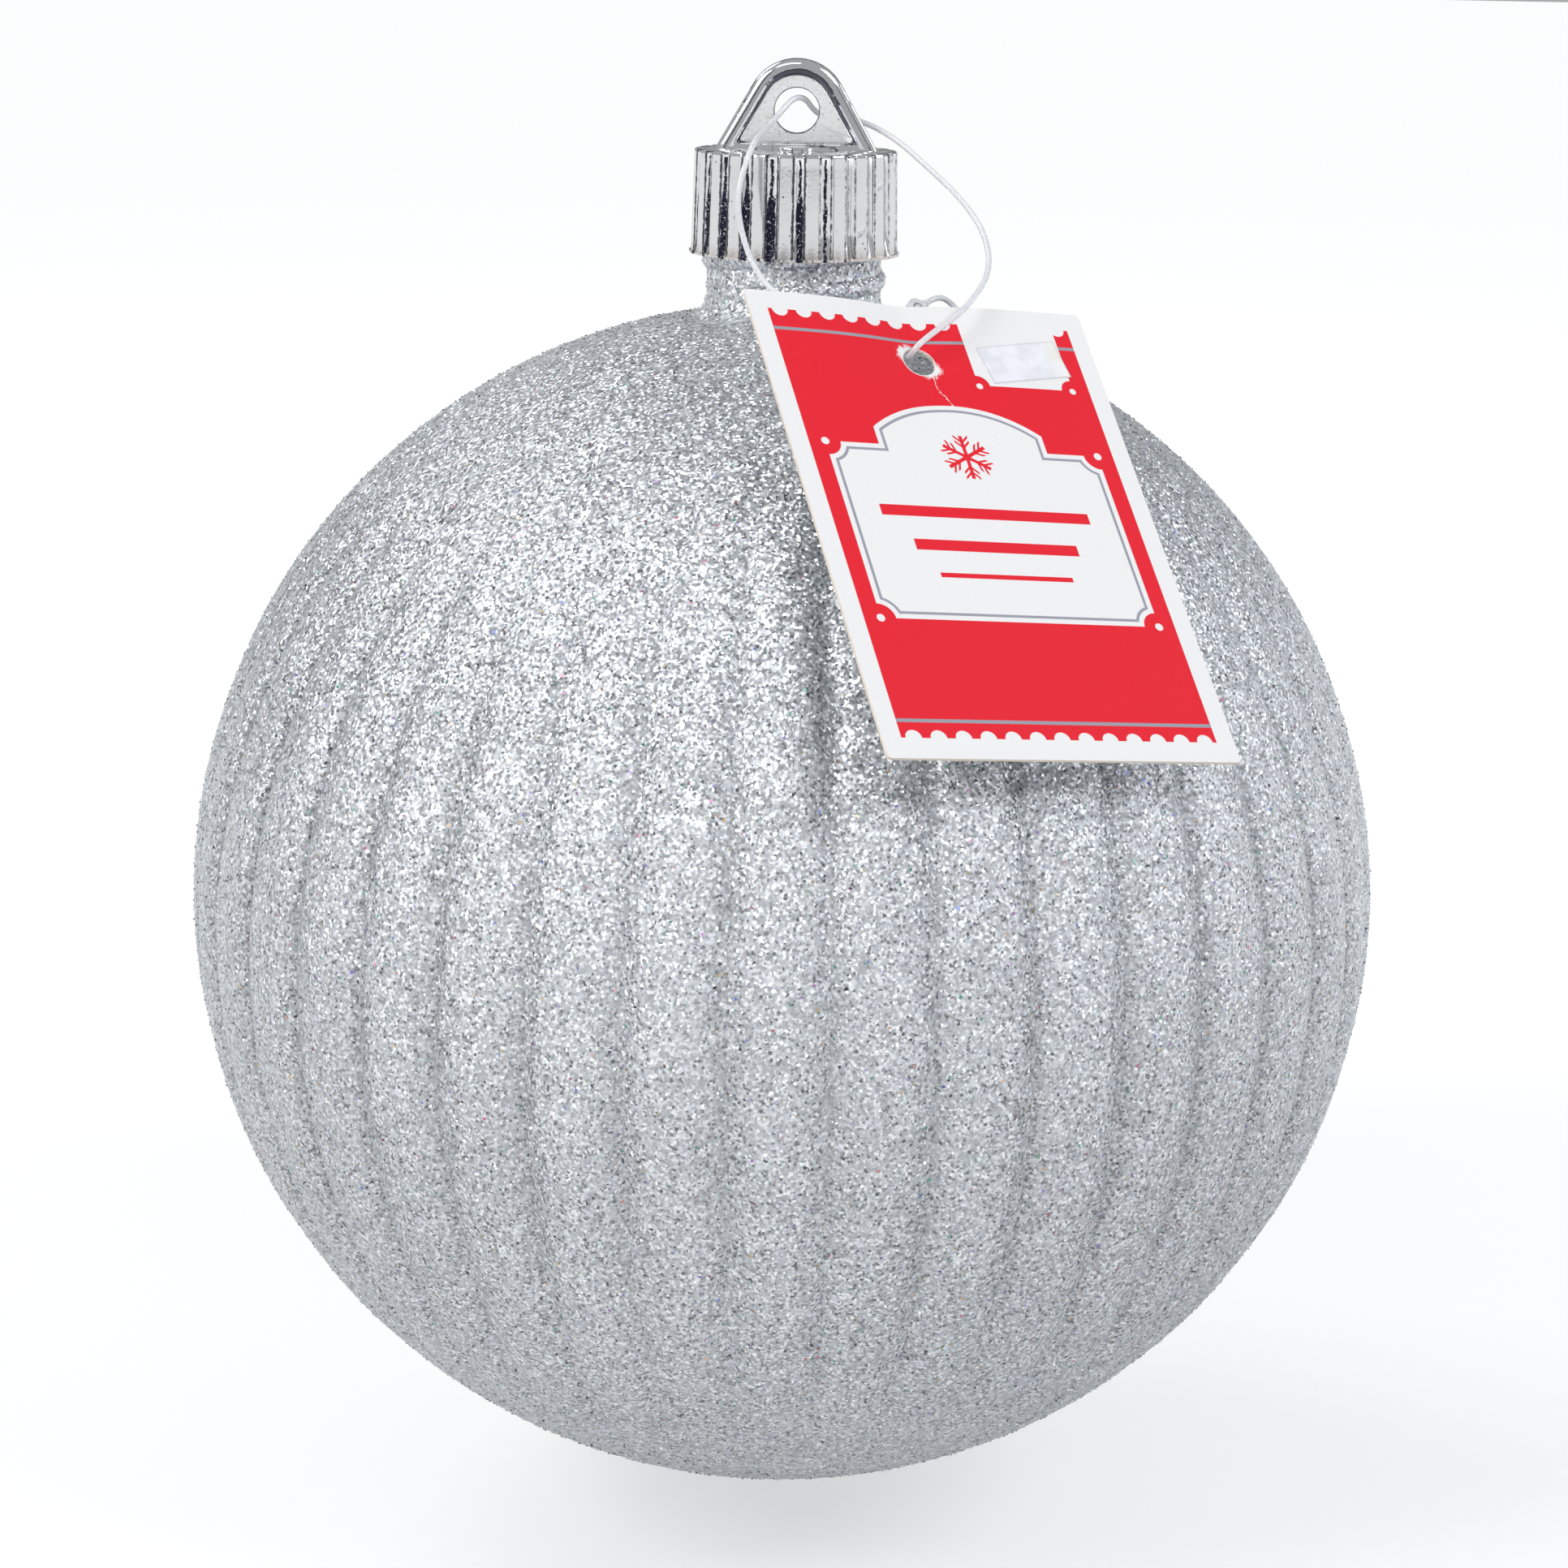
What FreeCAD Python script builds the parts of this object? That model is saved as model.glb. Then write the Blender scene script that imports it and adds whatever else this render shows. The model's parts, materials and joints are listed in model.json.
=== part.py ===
import FreeCAD, Part
import math
import os

# Shatterproof glitter ball ornament: a fluted hollow ball with a threaded neck, a metallised screw
# cap with a hanger lug, and a card tag on a nylon loop fastener.  Millimetres, +Z up, front is -Y.
# The origin is the centre of the hanger hole, and the hole runs along Y.

# ---- ball ----
BALL_DIAMETER = 150.0        # over the lobe crests, glitter included
SHELL_WALL = 1.0
LOBE_COUNT = 40
GROOVE_DEPTH = 1.3           # between two lobes at the equator
GROOVE_FULL_LATITUDE = 15.0  # degrees: full depth up to here ...
GROOVE_END_LATITUDE = 66.0   # ... and faded out here
GROOVE_SHARPNESS = 3         # power of the lobe's section: broad crest, narrow groove
FOOT_RADIUS = 4.0            # small flat at the bottom, where the mould closes
SHOULDER_LEDGE = 2.1         # flat ring left round the neck's flared foot

# ---- neck and thread ----
NECK_RADIUS = 10.7
NECK_WALL = 1.2
NECK_FLARE = 2.8             # concave radius at the neck's foot
NECK_REVEAL = 7.8            # from the cap's lower edge down to the shoulder
THREAD_PITCH = 4.2
THREAD_HEIGHT = 0.6
THREAD_FIT = 0.25            # radial gap, crest to root
NECK_RIDGE = (2.5, 1.3)      # width at the root and at the crest
CAP_RIDGE = (2.3, 1.2)
THREAD_EMBED = 0.35          # how deep a ridge is rooted in its wall
THREAD_LIFT = 1.95           # middle of the neck's ridge above the flare, on the +X side
NECK_THREAD_START = -150.0   # degrees from +X
NECK_THREAD_STOP = 1.88      # middle of the ridge's end below the neck's rim
CAP_THREAD_START = 240.0     # degrees from +X
CAP_THREAD_STOP = 3.36       # middle of the ridge's end below the cap's ceiling

# ---- cap ----
CAP_HEIGHT = 12.6
CAP_WALL = 0.9               # at the top, from the bore to the ribs' crests
CAP_DRAFT = 0.3              # how much wider the cap is at its foot
CAP_TOP_WALL = 1.3
CAP_EDGE_RADIUS = 0.3
FLASH_WIDTH = 0.35           # thin lip round the cap's lower edge
FLASH_HEIGHT = 0.35
RIB_COUNT = 24
RIB_GROOVE_RADIUS = 0.9
RIB_GROOVE_DEPTH = 0.35
RIB_PHASE = 2.0              # degrees
GATE_RADIUS = 2.05           # moulding gate left on the cap's top
GATE_HEIGHT = 0.6
GATE_OFFSET = 6.2

# ---- lug ----
HOLE_RADIUS = 2.72
HOLE_HEIGHT = 4.7            # hole centre above the cap's top
LUG_RADIUS = 6.25
LUG_SIDE_ANGLE = 30.0        # sides lean in from the vertical
LUG_THICKNESS = 2.6
LUG_WEB = 1.3
LUG_BEAD = 2.0               # width of the thick rim
LUG_PLINTH = 0.9
LUG_EDGE = 0.55

# ---- sealing liner ----
LINER_THICKNESS = 1.0
LINER_GAP = 0.1              # to the cap above it and the neck's rim below it
LINER_SIDE_GAP = 0.35

# ---- tag ----
TAG_WIDTH = 44.5
TAG_HEIGHT = 64.0
TAG_THICKNESS = 0.4
TAG_CORNER = 0.5
TAG_GAP = 0.4                # between the card's back and the lobe crests
TAG_AZIMUTH = 32.3           # degrees from the front, towards +X
TAG_TILT = 45.7
TAG_ROLL = 8.2
TAG_HOLE_RADIUS = 2.0
TAG_HOLE_SHIFT = -1.7        # from the card's middle line
TAG_HOLE_DROP = 8.6          # below the card's top edge
TAG_HOLE_PLACE = (-7.9, 24.8)   # from the point where the card leans on the ball
TAG_PIVOT_SHIFT = (-0.9, 0.9)   # from the hole's centre to where the loop carries the card
STICKER_SIZE = (11.0, 5.4)
STICKER_THICKNESS = 0.1
STICKER_SHIFT = 12.2         # from the card's middle line
STICKER_DROP = 8.0           # below the card's top edge
STICKER_TURN = 9.0

# ---- nylon loop fastener ----
LOOP_DIAMETER = 0.7
LOCK_CENTRE = (14.5, -19.8, -22.0)
LOCK_RADIUS = 1.3
LOCK_BORE = 0.65
LOCK_LENGTH = 1.4
STUB_DIRECTION = (0.56, 0.76, 0.33)
STUB_LENGTH = 0.7
STUB_RADIUS = 0.5
TIP_STANDOFF = 1.0           # tip's base from the lock's centre
TIP_LENGTH = 1.8
TIP_RADII = (0.8, 0.3)
LOCK_ENTRY = 1.5             # where the strand turns into the lock, from the lock's centre
BEND_SHARE = 0.45            # of the shorter run, taken up by the arc at each bend
LOOP_ROUTE = [               # from the lock's stub, round through the lug and back through the tag
    (17.0, -16.2, -20.6),
    (18.7, -15.0, -21.3),
    (20.3, -15.5, -23.4),
    (20.3, -18.0, -26.2),
    (15.6, -20.4, -26.2),
    (10.0, -22.5, -25.2),
    (4.5, -23.2, -23.7),
    (-1.2, -22.8, -20.8),
    (-4.3, -17.6, -18.4),
    (-6.3, -15.6, -14.0),
    (-7.0, -15.0, -9.0),
    (-5.2, -12.9, -3.3),
    (-4.1, -6.6, -2.4),
    (-2.8, -2.1, -1.2),
    (0.3, 0.1, 2.4),
    (2.8, 2.3, -1.1),
    (7.0, 3.6, -0.9),
    (12.0, 1.8, -3.1),
    (16.2, -0.9, -6.6),
    (19.8, -4.8, -9.6),
    (22.8, -10.6, -13.3),
    (23.4, -17.2, -17.6),
    (20.4, -24.2, -20.9),
    (17.9, -28.2, -22.4),
    (15.8, -30.3, -23.7),
    (14.2, -31.9, -24.9),
    (13.3, -30.5, -26.6),
    (13.1, -27.1, -25.2),
    (13.8, -23.5, -22.4),
]

# ---- worked out from the sizes above ----
ball_radius = BALL_DIAMETER / 2
cap_top_z = -HOLE_HEIGHT
cap_foot_z = cap_top_z - CAP_HEIGHT
ceiling_z = cap_top_z - CAP_TOP_WALL
liner_top_z = ceiling_z - LINER_GAP
neck_top_z = liner_top_z - LINER_THICKNESS - LINER_GAP
shoulder_z = cap_foot_z - NECK_REVEAL
shoulder_radius = NECK_RADIUS + NECK_FLARE + SHOULDER_LEDGE
ball_centre_z = shoulder_z - math.sqrt(ball_radius ** 2 - shoulder_radius ** 2)
foot_z = ball_centre_z - math.sqrt(ball_radius ** 2 - FOOT_RADIUS ** 2)
neck_bore_radius = NECK_RADIUS - NECK_WALL
neck_crest_radius = NECK_RADIUS + THREAD_HEIGHT
cap_bore_radius = neck_crest_radius + THREAD_FIT
cap_crest_radius = NECK_RADIUS + THREAD_FIT
cap_top_radius = cap_bore_radius + CAP_WALL
cap_foot_radius = cap_top_radius + CAP_DRAFT
flash_radius = cap_foot_radius + FLASH_WIDTH
liner_radius = cap_bore_radius - LINER_SIDE_GAP
neck_thread_z = shoulder_z + NECK_FLARE + THREAD_LIFT
cap_thread_z = neck_thread_z + THREAD_PITCH / 2
tag_hole = (TAG_HOLE_SHIFT, TAG_HEIGHT / 2 - TAG_HOLE_DROP)
tag_centre = (TAG_HOLE_PLACE[0] - tag_hole[0], TAG_HOLE_PLACE[1] - tag_hole[1])
tag_pivot = (tag_hole[0] + TAG_PIVOT_SHIFT[0], tag_hole[1] + TAG_PIVOT_SHIFT[1])
sticker_centre = (STICKER_SHIFT, TAG_HEIGHT / 2 - STICKER_DROP)

V = FreeCAD.Vector
TOLERANCE = 1e-3             # for telling edges and faces apart by their place
UP = V(0, 0, 1)
ORIGIN = V(0, 0, 0)


def save(shape, name):
    """Write one node and say what it is."""
    shape.exportStep(os.path.join("parts", name + ".step"))
    print(name, "solids", len(shape.Solids), "valid", shape.isValid(), "volume", round(shape.Volume, 2))


def revolved(points):
    """Solid of revolution about Z from (radius, height) points joined by straight lines."""
    corners = [V(r, 0, z) for r, z in points]
    face = Part.Face(Part.makePolygon(corners + [corners[0]]))
    return face.revolve(ORIGIN, UP, 360)


# ------------------------------------------------------------------ ball
def groove_fade(latitude):
    """1 round the middle of the ball, falling smoothly to 0 towards the poles."""
    span = GROOVE_END_LATITUDE - GROOVE_FULL_LATITUDE
    along = min(max((abs(math.degrees(latitude)) - GROOVE_FULL_LATITUDE) / span, 0), 1)
    return (1 + math.cos(math.pi * along)) / 2


def lobe_patch(radius, low_z, high_z, rows=41, columns=11):
    """One lobe of the ball as a surface, from groove to groove; heights are from the ball's centre."""
    half_angle = math.pi / LOBE_COUNT
    low = math.asin(low_z / radius)
    high = math.asin(high_z / radius)
    grid = []
    for i in range(rows):
        latitude = low + (high - low) * i / (rows - 1)
        row = []
        for j in range(columns):
            across = 2 * j / (columns - 1) - 1
            dip = GROOVE_DEPTH * groove_fade(latitude) * abs(across) ** GROOVE_SHARPNESS
            flat = (radius - dip) * math.cos(latitude)
            angle = across * half_angle
            height = (radius - dip) * math.sin(latitude)
            row.append(V(flat * math.cos(angle), flat * math.sin(angle), height))
        grid.append(row)
    surface = Part.BSplineSurface()
    surface.interpolate(grid)
    return surface.toShape()


def level_cap(faces, z):
    """Flat face that closes the lobes at one height."""
    edges = [edge for face in faces for edge in face.Edges
             if abs(edge.BoundBox.ZMax - z) < TOLERANCE and abs(edge.BoundBox.ZMin - z) < TOLERANCE]
    return Part.Face(Part.Wire(Part.__sortEdges__(edges)))


def fluted_ball(radius, low_z, high_z):
    """Closed solid of all the lobes between two heights from the ball's centre."""
    patch = lobe_patch(radius, low_z, high_z)
    lobes = []
    for k in range(LOBE_COUNT):
        lobe = patch.copy()
        lobe.rotate(ORIGIN, UP, 360.0 * k / LOBE_COUNT)
        lobes.append(lobe)
    shell = Part.makeShell(lobes + [level_cap(lobes, low_z), level_cap(lobes, high_z)])
    shell.sewShape(1e-4)
    solid = Part.makeSolid(shell)
    if solid.Volume < 0:
        solid.reverse()
    solid.translate(V(0, 0, ball_centre_z))
    return solid


def thread_ridge(root, crest, widths, angle, z_at_zero, stop_z):
    """Right-hand helical ridge on a wall of radius root; its flanks run straight on into the wall."""
    start_z = z_at_zero + THREAD_PITCH * angle / 360
    height = abs(crest - root)
    side = (crest - root) / height
    flank_slope = (widths[0] - widths[1]) / 2 / height
    deep = root - side * THREAD_EMBED
    wide = widths[0] / 2 + flank_slope * THREAD_EMBED
    narrow = widths[1] / 2
    profile = Part.makePolygon([V(deep, 0, -wide), V(crest, 0, -narrow), V(crest, 0, narrow),
                                V(deep, 0, wide), V(deep, 0, -wide)])
    helix = Part.Wire(Part.makeHelix(THREAD_PITCH, stop_z - start_z, root))
    ridge = helix.makePipeShell([profile], True, True)
    ridge.rotate(ORIGIN, UP, angle)
    ridge.translate(V(0, 0, start_z))
    return ridge


def neck_outside():
    """Outside of the neck with its flared foot, solid, standing on the shoulder."""
    foot = NECK_RADIUS + NECK_FLARE
    bend = Part.Arc(V(foot, 0, shoulder_z),
                    V(NECK_RADIUS + NECK_FLARE * (1 - math.sin(math.pi / 4)), 0,
                      shoulder_z + NECK_FLARE * (1 - math.cos(math.pi / 4))),
                    V(NECK_RADIUS, 0, shoulder_z + NECK_FLARE)).toShape()
    corners = [V(NECK_RADIUS, 0, shoulder_z + NECK_FLARE), V(NECK_RADIUS, 0, neck_top_z),
               V(0, 0, neck_top_z), V(0, 0, shoulder_z), V(foot, 0, shoulder_z)]
    lines = [Part.LineSegment(a, b).toShape() for a, b in zip(corners[:-1], corners[1:])]
    return Part.Face(Part.Wire([bend] + lines)).revolve(ORIGIN, UP, 360)


def neck_bore(low_z, high_z):
    """Cutter for the way into the ball, a little longer than what it goes through."""
    return Part.makeCylinder(neck_bore_radius, high_z - low_z + 2 * SHELL_WALL, V(0, 0, low_z - SHELL_WALL))


def ball_shell():
    """Hollow fluted ball, with the opening that the neck stands round."""
    outside = fluted_ball(ball_radius, foot_z - ball_centre_z, shoulder_z - ball_centre_z)
    inside = fluted_ball(ball_radius - SHELL_WALL, foot_z - ball_centre_z + SHELL_WALL,
                         shoulder_z - ball_centre_z - SHELL_WALL)
    return outside.cut(inside).cut(neck_bore(shoulder_z - SHELL_WALL, shoulder_z))


def ball_neck():
    """The ball's threaded neck, which is one moulding with the ball; they meet at the shoulder."""
    ridge = thread_ridge(NECK_RADIUS, neck_crest_radius, NECK_RIDGE, NECK_THREAD_START, neck_thread_z,
                         neck_top_z - NECK_THREAD_STOP)
    return neck_outside().fuse(ridge).cut(neck_bore(shoulder_z, neck_top_z))


# ------------------------------------------------------------------ cap
def lug_outline(radius, low_z):
    """Face in the XZ plane: an arc over the hanger hole with straight sides down to low_z."""
    lean = math.radians(LUG_SIDE_ANGLE)
    touch = V(radius * math.cos(lean), 0, radius * math.sin(lean))
    half_base = (radius - low_z * math.sin(lean)) / math.cos(lean)
    left, right = V(-half_base, 0, low_z), V(half_base, 0, low_z)
    edges = [Part.Arc(touch, V(0, 0, radius), V(-touch.x, 0, touch.z)).toShape(),
             Part.LineSegment(V(-touch.x, 0, touch.z), left).toShape(),
             Part.LineSegment(left, right).toShape(),
             Part.LineSegment(right, touch).toShape()]
    return Part.Face(Part.Wire(edges))


def lug_slab(radius, low_z, y_from, y_to):
    """The lug's outline as a slab between two Y values."""
    face = lug_outline(radius, low_z)
    face.translate(V(0, y_from, 0))
    return face.extrude(V(0, y_to - y_from, 0))


def lug():
    """Hanger lug: thick rounded rim, thin web, and the hole."""
    half = LUG_THICKNESS / 2
    body = lug_slab(LUG_RADIUS, cap_top_z - CAP_TOP_WALL / 2, -half, half)
    rim = [e for e in body.Edges
           if abs(abs(e.BoundBox.Center.y) - half) < TOLERANCE and e.BoundBox.ZMax > cap_top_z]
    body = body.makeFillet(LUG_EDGE, rim)
    pocket_floor = LUG_WEB / 2
    for side in (-1, 1):
        ends = sorted((side * pocket_floor, side * (half + 1)))
        body = body.cut(lug_slab(LUG_RADIUS - LUG_BEAD, cap_top_z + LUG_PLINTH, ends[0], ends[1]))
    hole = Part.makeCylinder(HOLE_RADIUS, 2 * LUG_THICKNESS, V(0, -LUG_THICKNESS, 0), V(0, 1, 0))
    return body.cut(hole)


def gate_mark():
    """Low round button that the moulding gate leaves in front of the lug."""
    button = Part.makeCylinder(GATE_RADIUS, GATE_HEIGHT + CAP_EDGE_RADIUS,
                               V(0, -GATE_OFFSET, cap_top_z - CAP_EDGE_RADIUS))
    top = [e for e in button.Edges if e.BoundBox.ZMin > cap_top_z]
    return button.makeFillet(GATE_HEIGHT / 3, top)


def rib_grooves():
    """Round-bottomed cutters that leave the grip ribs between them."""
    lean = CAP_DRAFT / CAP_HEIGHT
    stand_out = RIB_GROOVE_RADIUS - RIB_GROOVE_DEPTH
    low_z = cap_foot_z + FLASH_HEIGHT
    cutters = []
    for k in range(RIB_COUNT):
        cutter = Part.makeCylinder(RIB_GROOVE_RADIUS, CAP_HEIGHT + 1,
                                   V(cap_foot_radius - lean * FLASH_HEIGHT + stand_out, 0, low_z),
                                   V(-lean, 0, 1))
        cutter.rotate(ORIGIN, UP, RIB_PHASE + 360.0 * k / RIB_COUNT)
        cutters.append(cutter)
    return cutters


def screw_cap():
    """Ribbed cap, its inside thread and the lug in one moulding."""
    edge = CAP_EDGE_RADIUS
    body = revolved([(0, cap_top_z), (cap_top_radius - edge, cap_top_z),
                     (cap_top_radius, cap_top_z - edge),
                     (cap_foot_radius, cap_foot_z + FLASH_HEIGHT),
                     (flash_radius, cap_foot_z + FLASH_HEIGHT), (flash_radius, cap_foot_z),
                     (cap_bore_radius + edge, cap_foot_z), (cap_bore_radius, cap_foot_z + edge),
                     (cap_bore_radius, ceiling_z), (0, ceiling_z)])
    ridge = thread_ridge(cap_bore_radius, cap_crest_radius, CAP_RIDGE, CAP_THREAD_START, cap_thread_z,
                         ceiling_z - CAP_THREAD_STOP)
    body = body.cut(rib_grooves())
    return body.fuse([lug(), gate_mark()]).fuse(ridge)


def cap_liner():
    """Sealing disc between the cap's ceiling and the neck's rim."""
    return Part.makeCylinder(liner_radius, LINER_THICKNESS, V(0, 0, liner_top_z - LINER_THICKNESS))


# ------------------------------------------------------------------ tag
def tag_axes():
    """The card's right, up and outward directions."""
    azimuth, tilt, roll = (math.radians(a) for a in (TAG_AZIMUTH, TAG_TILT, TAG_ROLL))
    outward = V(math.sin(azimuth) * math.cos(tilt), -math.cos(azimuth) * math.cos(tilt), math.sin(tilt))
    level = V(math.cos(azimuth), math.sin(azimuth), 0)
    steep = outward.cross(level)
    right = level * math.cos(roll) - steep * math.sin(roll)
    up = steep * math.cos(roll) + level * math.sin(roll)
    return right, up, outward


def tag_point(across, along, out=0.0):
    """A point by its place on the card's middle plane, and how far it stands in front of it."""
    right, up, outward = tag_axes()
    reach = ball_radius + TAG_GAP + TAG_THICKNESS / 2 + out
    return (V(0, 0, ball_centre_z) + outward * reach
            + right * (tag_centre[0] + across) + up * (tag_centre[1] + along))


def on_tag(shape):
    """Move a shape from the card's own axes (X right, Z up, front -Y) to its place."""
    right, up, outward = tag_axes()
    c = tag_point(0, 0)
    shape.transformShape(FreeCAD.Matrix(right.x, -outward.x, up.x, c.x,
                                        right.y, -outward.y, up.y, c.y,
                                        right.z, -outward.z, up.z, c.z, 0, 0, 0, 1))
    return shape


def plate(width, height, thickness, centre, y_front):
    """Upright plate whose front face is at y_front."""
    return Part.makeBox(width, thickness, height,
                        V(centre[0] - width / 2, y_front, centre[1] - height / 2))


def tag_card():
    """The printed card with its punched hole."""
    card = plate(TAG_WIDTH, TAG_HEIGHT, TAG_THICKNESS, (0, 0), -TAG_THICKNESS / 2)
    corners = [e for e in card.Edges if max(e.BoundBox.XLength, e.BoundBox.ZLength) < TOLERANCE]
    card = card.makeFillet(TAG_CORNER, corners)
    hole = Part.makeCylinder(TAG_HOLE_RADIUS, 4 * TAG_THICKNESS,
                             V(tag_hole[0], -2 * TAG_THICKNESS, tag_hole[1]), V(0, 1, 0))
    return on_tag(card.cut(hole))


def price_sticker():
    """Blank sticker on the card's front."""
    sticker = plate(STICKER_SIZE[0], STICKER_SIZE[1], STICKER_THICKNESS, (0, 0),
                    -TAG_THICKNESS / 2 - STICKER_THICKNESS)
    sticker.rotate(ORIGIN, V(0, -1, 0), STICKER_TURN)
    sticker.translate(V(sticker_centre[0], 0, sticker_centre[1]))
    return on_tag(sticker)


# ------------------------------------------------------------------ loop fastener
def lock_axis():
    """Through the lock's bore, away from the front."""
    return tag_axes()[2] * -1


def stub_direction():
    """Out of the lock's side, square to its bore."""
    axis = lock_axis()
    lean = V(*STUB_DIRECTION)
    return (lean - axis * lean.dot(axis)).normalize()


def loop_points():
    """The whole route: stub end, hand-set points, turn into the lock, tip's base."""
    centre = V(*LOCK_CENTRE)
    return ([centre + stub_direction() * (LOCK_RADIUS + STUB_LENGTH)]
            + [V(*p) for p in LOOP_ROUTE]
            + [centre - lock_axis() * LOCK_ENTRY, centre + lock_axis() * TIP_STANDOFF])


def rounded_path(points):
    """Straight runs joined by tangent arcs; returns the wire, its length and the arcs' radii."""
    edges, radii = [], []
    start = points[0]
    for before, corner, after in zip(points[:-2], points[1:-1], points[2:]):
        inward, onward = (corner - before), (after - corner)
        run = min(inward.Length, onward.Length)
        inward.normalize()
        onward.normalize()
        turn = inward.getAngle(onward)
        radius = BEND_SHARE * run / math.tan(turn / 2)
        begin = corner - inward * BEND_SHARE * run
        end = corner + onward * BEND_SHARE * run
        middle = (corner + (onward - inward).normalize()
                  * radius * (1 / math.cos(turn / 2) - 1))
        edges += [Part.LineSegment(start, begin).toShape(), Part.Arc(begin, middle, end).toShape()]
        radii.append(radius)
        start = end
    edges.append(Part.LineSegment(start, points[-1]).toShape())
    return Part.Wire(edges), sum(e.Length for e in edges), radii


def tag_loop():
    """The nylon filament, as a round tube along its whole route."""
    points = loop_points()
    path, length, radii = rounded_path(points)
    ring = Part.Wire(Part.makeCircle(LOOP_DIAMETER / 2, points[0], points[1] - points[0]))
    tube = path.makePipeShell([ring], True, False)
    section = math.pi * LOOP_DIAMETER ** 2 / 4
    print("loop length", round(length, 1), "radii", [round(r, 1) for r in radii])
    print("loop volume", round(tube.Volume, 2), "section times length", round(section * length, 2))
    return tube


def loop_lock():
    """Eyelet that the barbed end snaps through, with the stub of the filament's fixed end."""
    centre, axis = V(*LOCK_CENTRE), lock_axis()
    eyelet = Part.makeCylinder(LOCK_RADIUS, LOCK_LENGTH, centre - axis * LOCK_LENGTH / 2, axis)
    stub = Part.makeCylinder(STUB_RADIUS, LOCK_RADIUS + STUB_LENGTH, centre, stub_direction())
    bore = Part.makeCylinder(LOCK_BORE, 2 * LOCK_LENGTH, centre - axis * LOCK_LENGTH, axis)
    return eyelet.fuse(stub).cut(bore)


def loop_tip():
    """Barbed end, behind the eyelet."""
    return Part.makeCone(TIP_RADII[0], TIP_RADII[1], TIP_LENGTH,
                         V(*LOCK_CENTRE) + lock_axis() * TIP_STANDOFF, lock_axis())


NODES = {
    "ball_shell": ball_shell,
    "ball_neck": ball_neck,
    "screw_cap": screw_cap,
    "cap_liner": cap_liner,
    "tag_card": tag_card,
    "price_sticker": price_sticker,
    "tag_loop": tag_loop,
    "loop_lock": loop_lock,
    "loop_tip": loop_tip,
}

os.makedirs("parts", exist_ok=True)
for node, make in NODES.items():
    save(make(), node)
print("cap foot", cap_foot_z, "neck top", neck_top_z, "shoulder", shoulder_z,
      "ball centre", round(ball_centre_z, 3), "lowest", round(foot_z, 3))
print("tag pivot", tag_point(*tag_pivot), "outward", tag_axes()[2])
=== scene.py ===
import json
import math

import bmesh
import bpy
from mathutils import Matrix, Vector, noise


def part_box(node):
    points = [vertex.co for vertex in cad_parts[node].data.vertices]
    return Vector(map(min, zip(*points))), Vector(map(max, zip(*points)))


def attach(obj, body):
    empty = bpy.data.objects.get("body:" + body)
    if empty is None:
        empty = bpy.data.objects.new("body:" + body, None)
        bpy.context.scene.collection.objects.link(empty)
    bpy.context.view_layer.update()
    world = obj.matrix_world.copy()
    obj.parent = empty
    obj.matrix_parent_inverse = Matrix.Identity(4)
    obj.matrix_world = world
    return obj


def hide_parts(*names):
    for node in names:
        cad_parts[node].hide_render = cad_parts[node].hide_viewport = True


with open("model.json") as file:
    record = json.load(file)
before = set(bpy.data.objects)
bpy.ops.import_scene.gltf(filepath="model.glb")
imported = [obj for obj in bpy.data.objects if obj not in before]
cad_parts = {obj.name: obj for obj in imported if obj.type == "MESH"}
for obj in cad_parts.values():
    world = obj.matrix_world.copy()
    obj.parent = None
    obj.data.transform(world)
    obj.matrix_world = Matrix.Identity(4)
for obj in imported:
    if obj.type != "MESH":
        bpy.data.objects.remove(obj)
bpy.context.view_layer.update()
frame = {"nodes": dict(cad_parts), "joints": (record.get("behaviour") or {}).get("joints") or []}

# Looks of a jumbo shatterproof ornament: a fluted ball in a glitter coat, a mirror-silver screw
# cap with a hanger lug, and a printed card tag on a nylon loop.  Metres, +Z up, the front is -Y,
# and the origin is the centre of the hanger hole.

bl_info = {
    "name": "Glitter Ball Ornament",
    "version": (1, 0, 0),
    "blender": (4, 5, 0),
    "location": "View3D > Sidebar > Ornament",
    "description": "Models the ball, its screw cap and its card tag round the packed parts",
    "category": "Object",
}

MM = 0.001
NECK_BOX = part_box("ball_neck")
BALL_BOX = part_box("ball_shell")
CAP_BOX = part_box("screw_cap")
LINER_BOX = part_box("cap_liner")

BALL_RADIUS = (BALL_BOX[1].x - BALL_BOX[0].x) / 2
NECK_TOP = NECK_BOX[1].z
SHOULDER = NECK_BOX[0].z
FOOT = BALL_BOX[0].z
SHOULDER_RADIUS = 15.6 * MM      # the ball is cut level here, round the neck's flared foot
BALL_CENTRE = SHOULDER - math.sqrt(BALL_RADIUS ** 2 - SHOULDER_RADIUS ** 2)
CAP_FOOT = CAP_BOX[0].z
LUG_RADIUS = CAP_BOX[1].z
THREAD_PITCH = 4.2 * MM
THREAD_RISE = 4.75 * MM          # middle of the neck's ridge over the shoulder, on the +X side
GROOVE_START = math.radians(2)   # middle of one of the cap's grooves, from +X
GROOVE_HALF_WIDTH = 0.71 * MM    # half a groove of the cap, along its side
GROOVE_CUTTER = 0.9 * MM         # radius of a groove's round bottom
MERGE_DISTANCE = 1e-6
PLACES = 8                       # decimals of a metre that in_order keeps
STICKER_SIZE = (11 * MM, 5.4 * MM, 1)
STICKER_PLACE = (12.2 * MM, 24.0 * MM, 0)
STICKER_TURN = math.radians(9)
STICKER_THICKNESS = 0.1 * MM
WHITE = (1.0, 1.0, 1.0)
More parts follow.
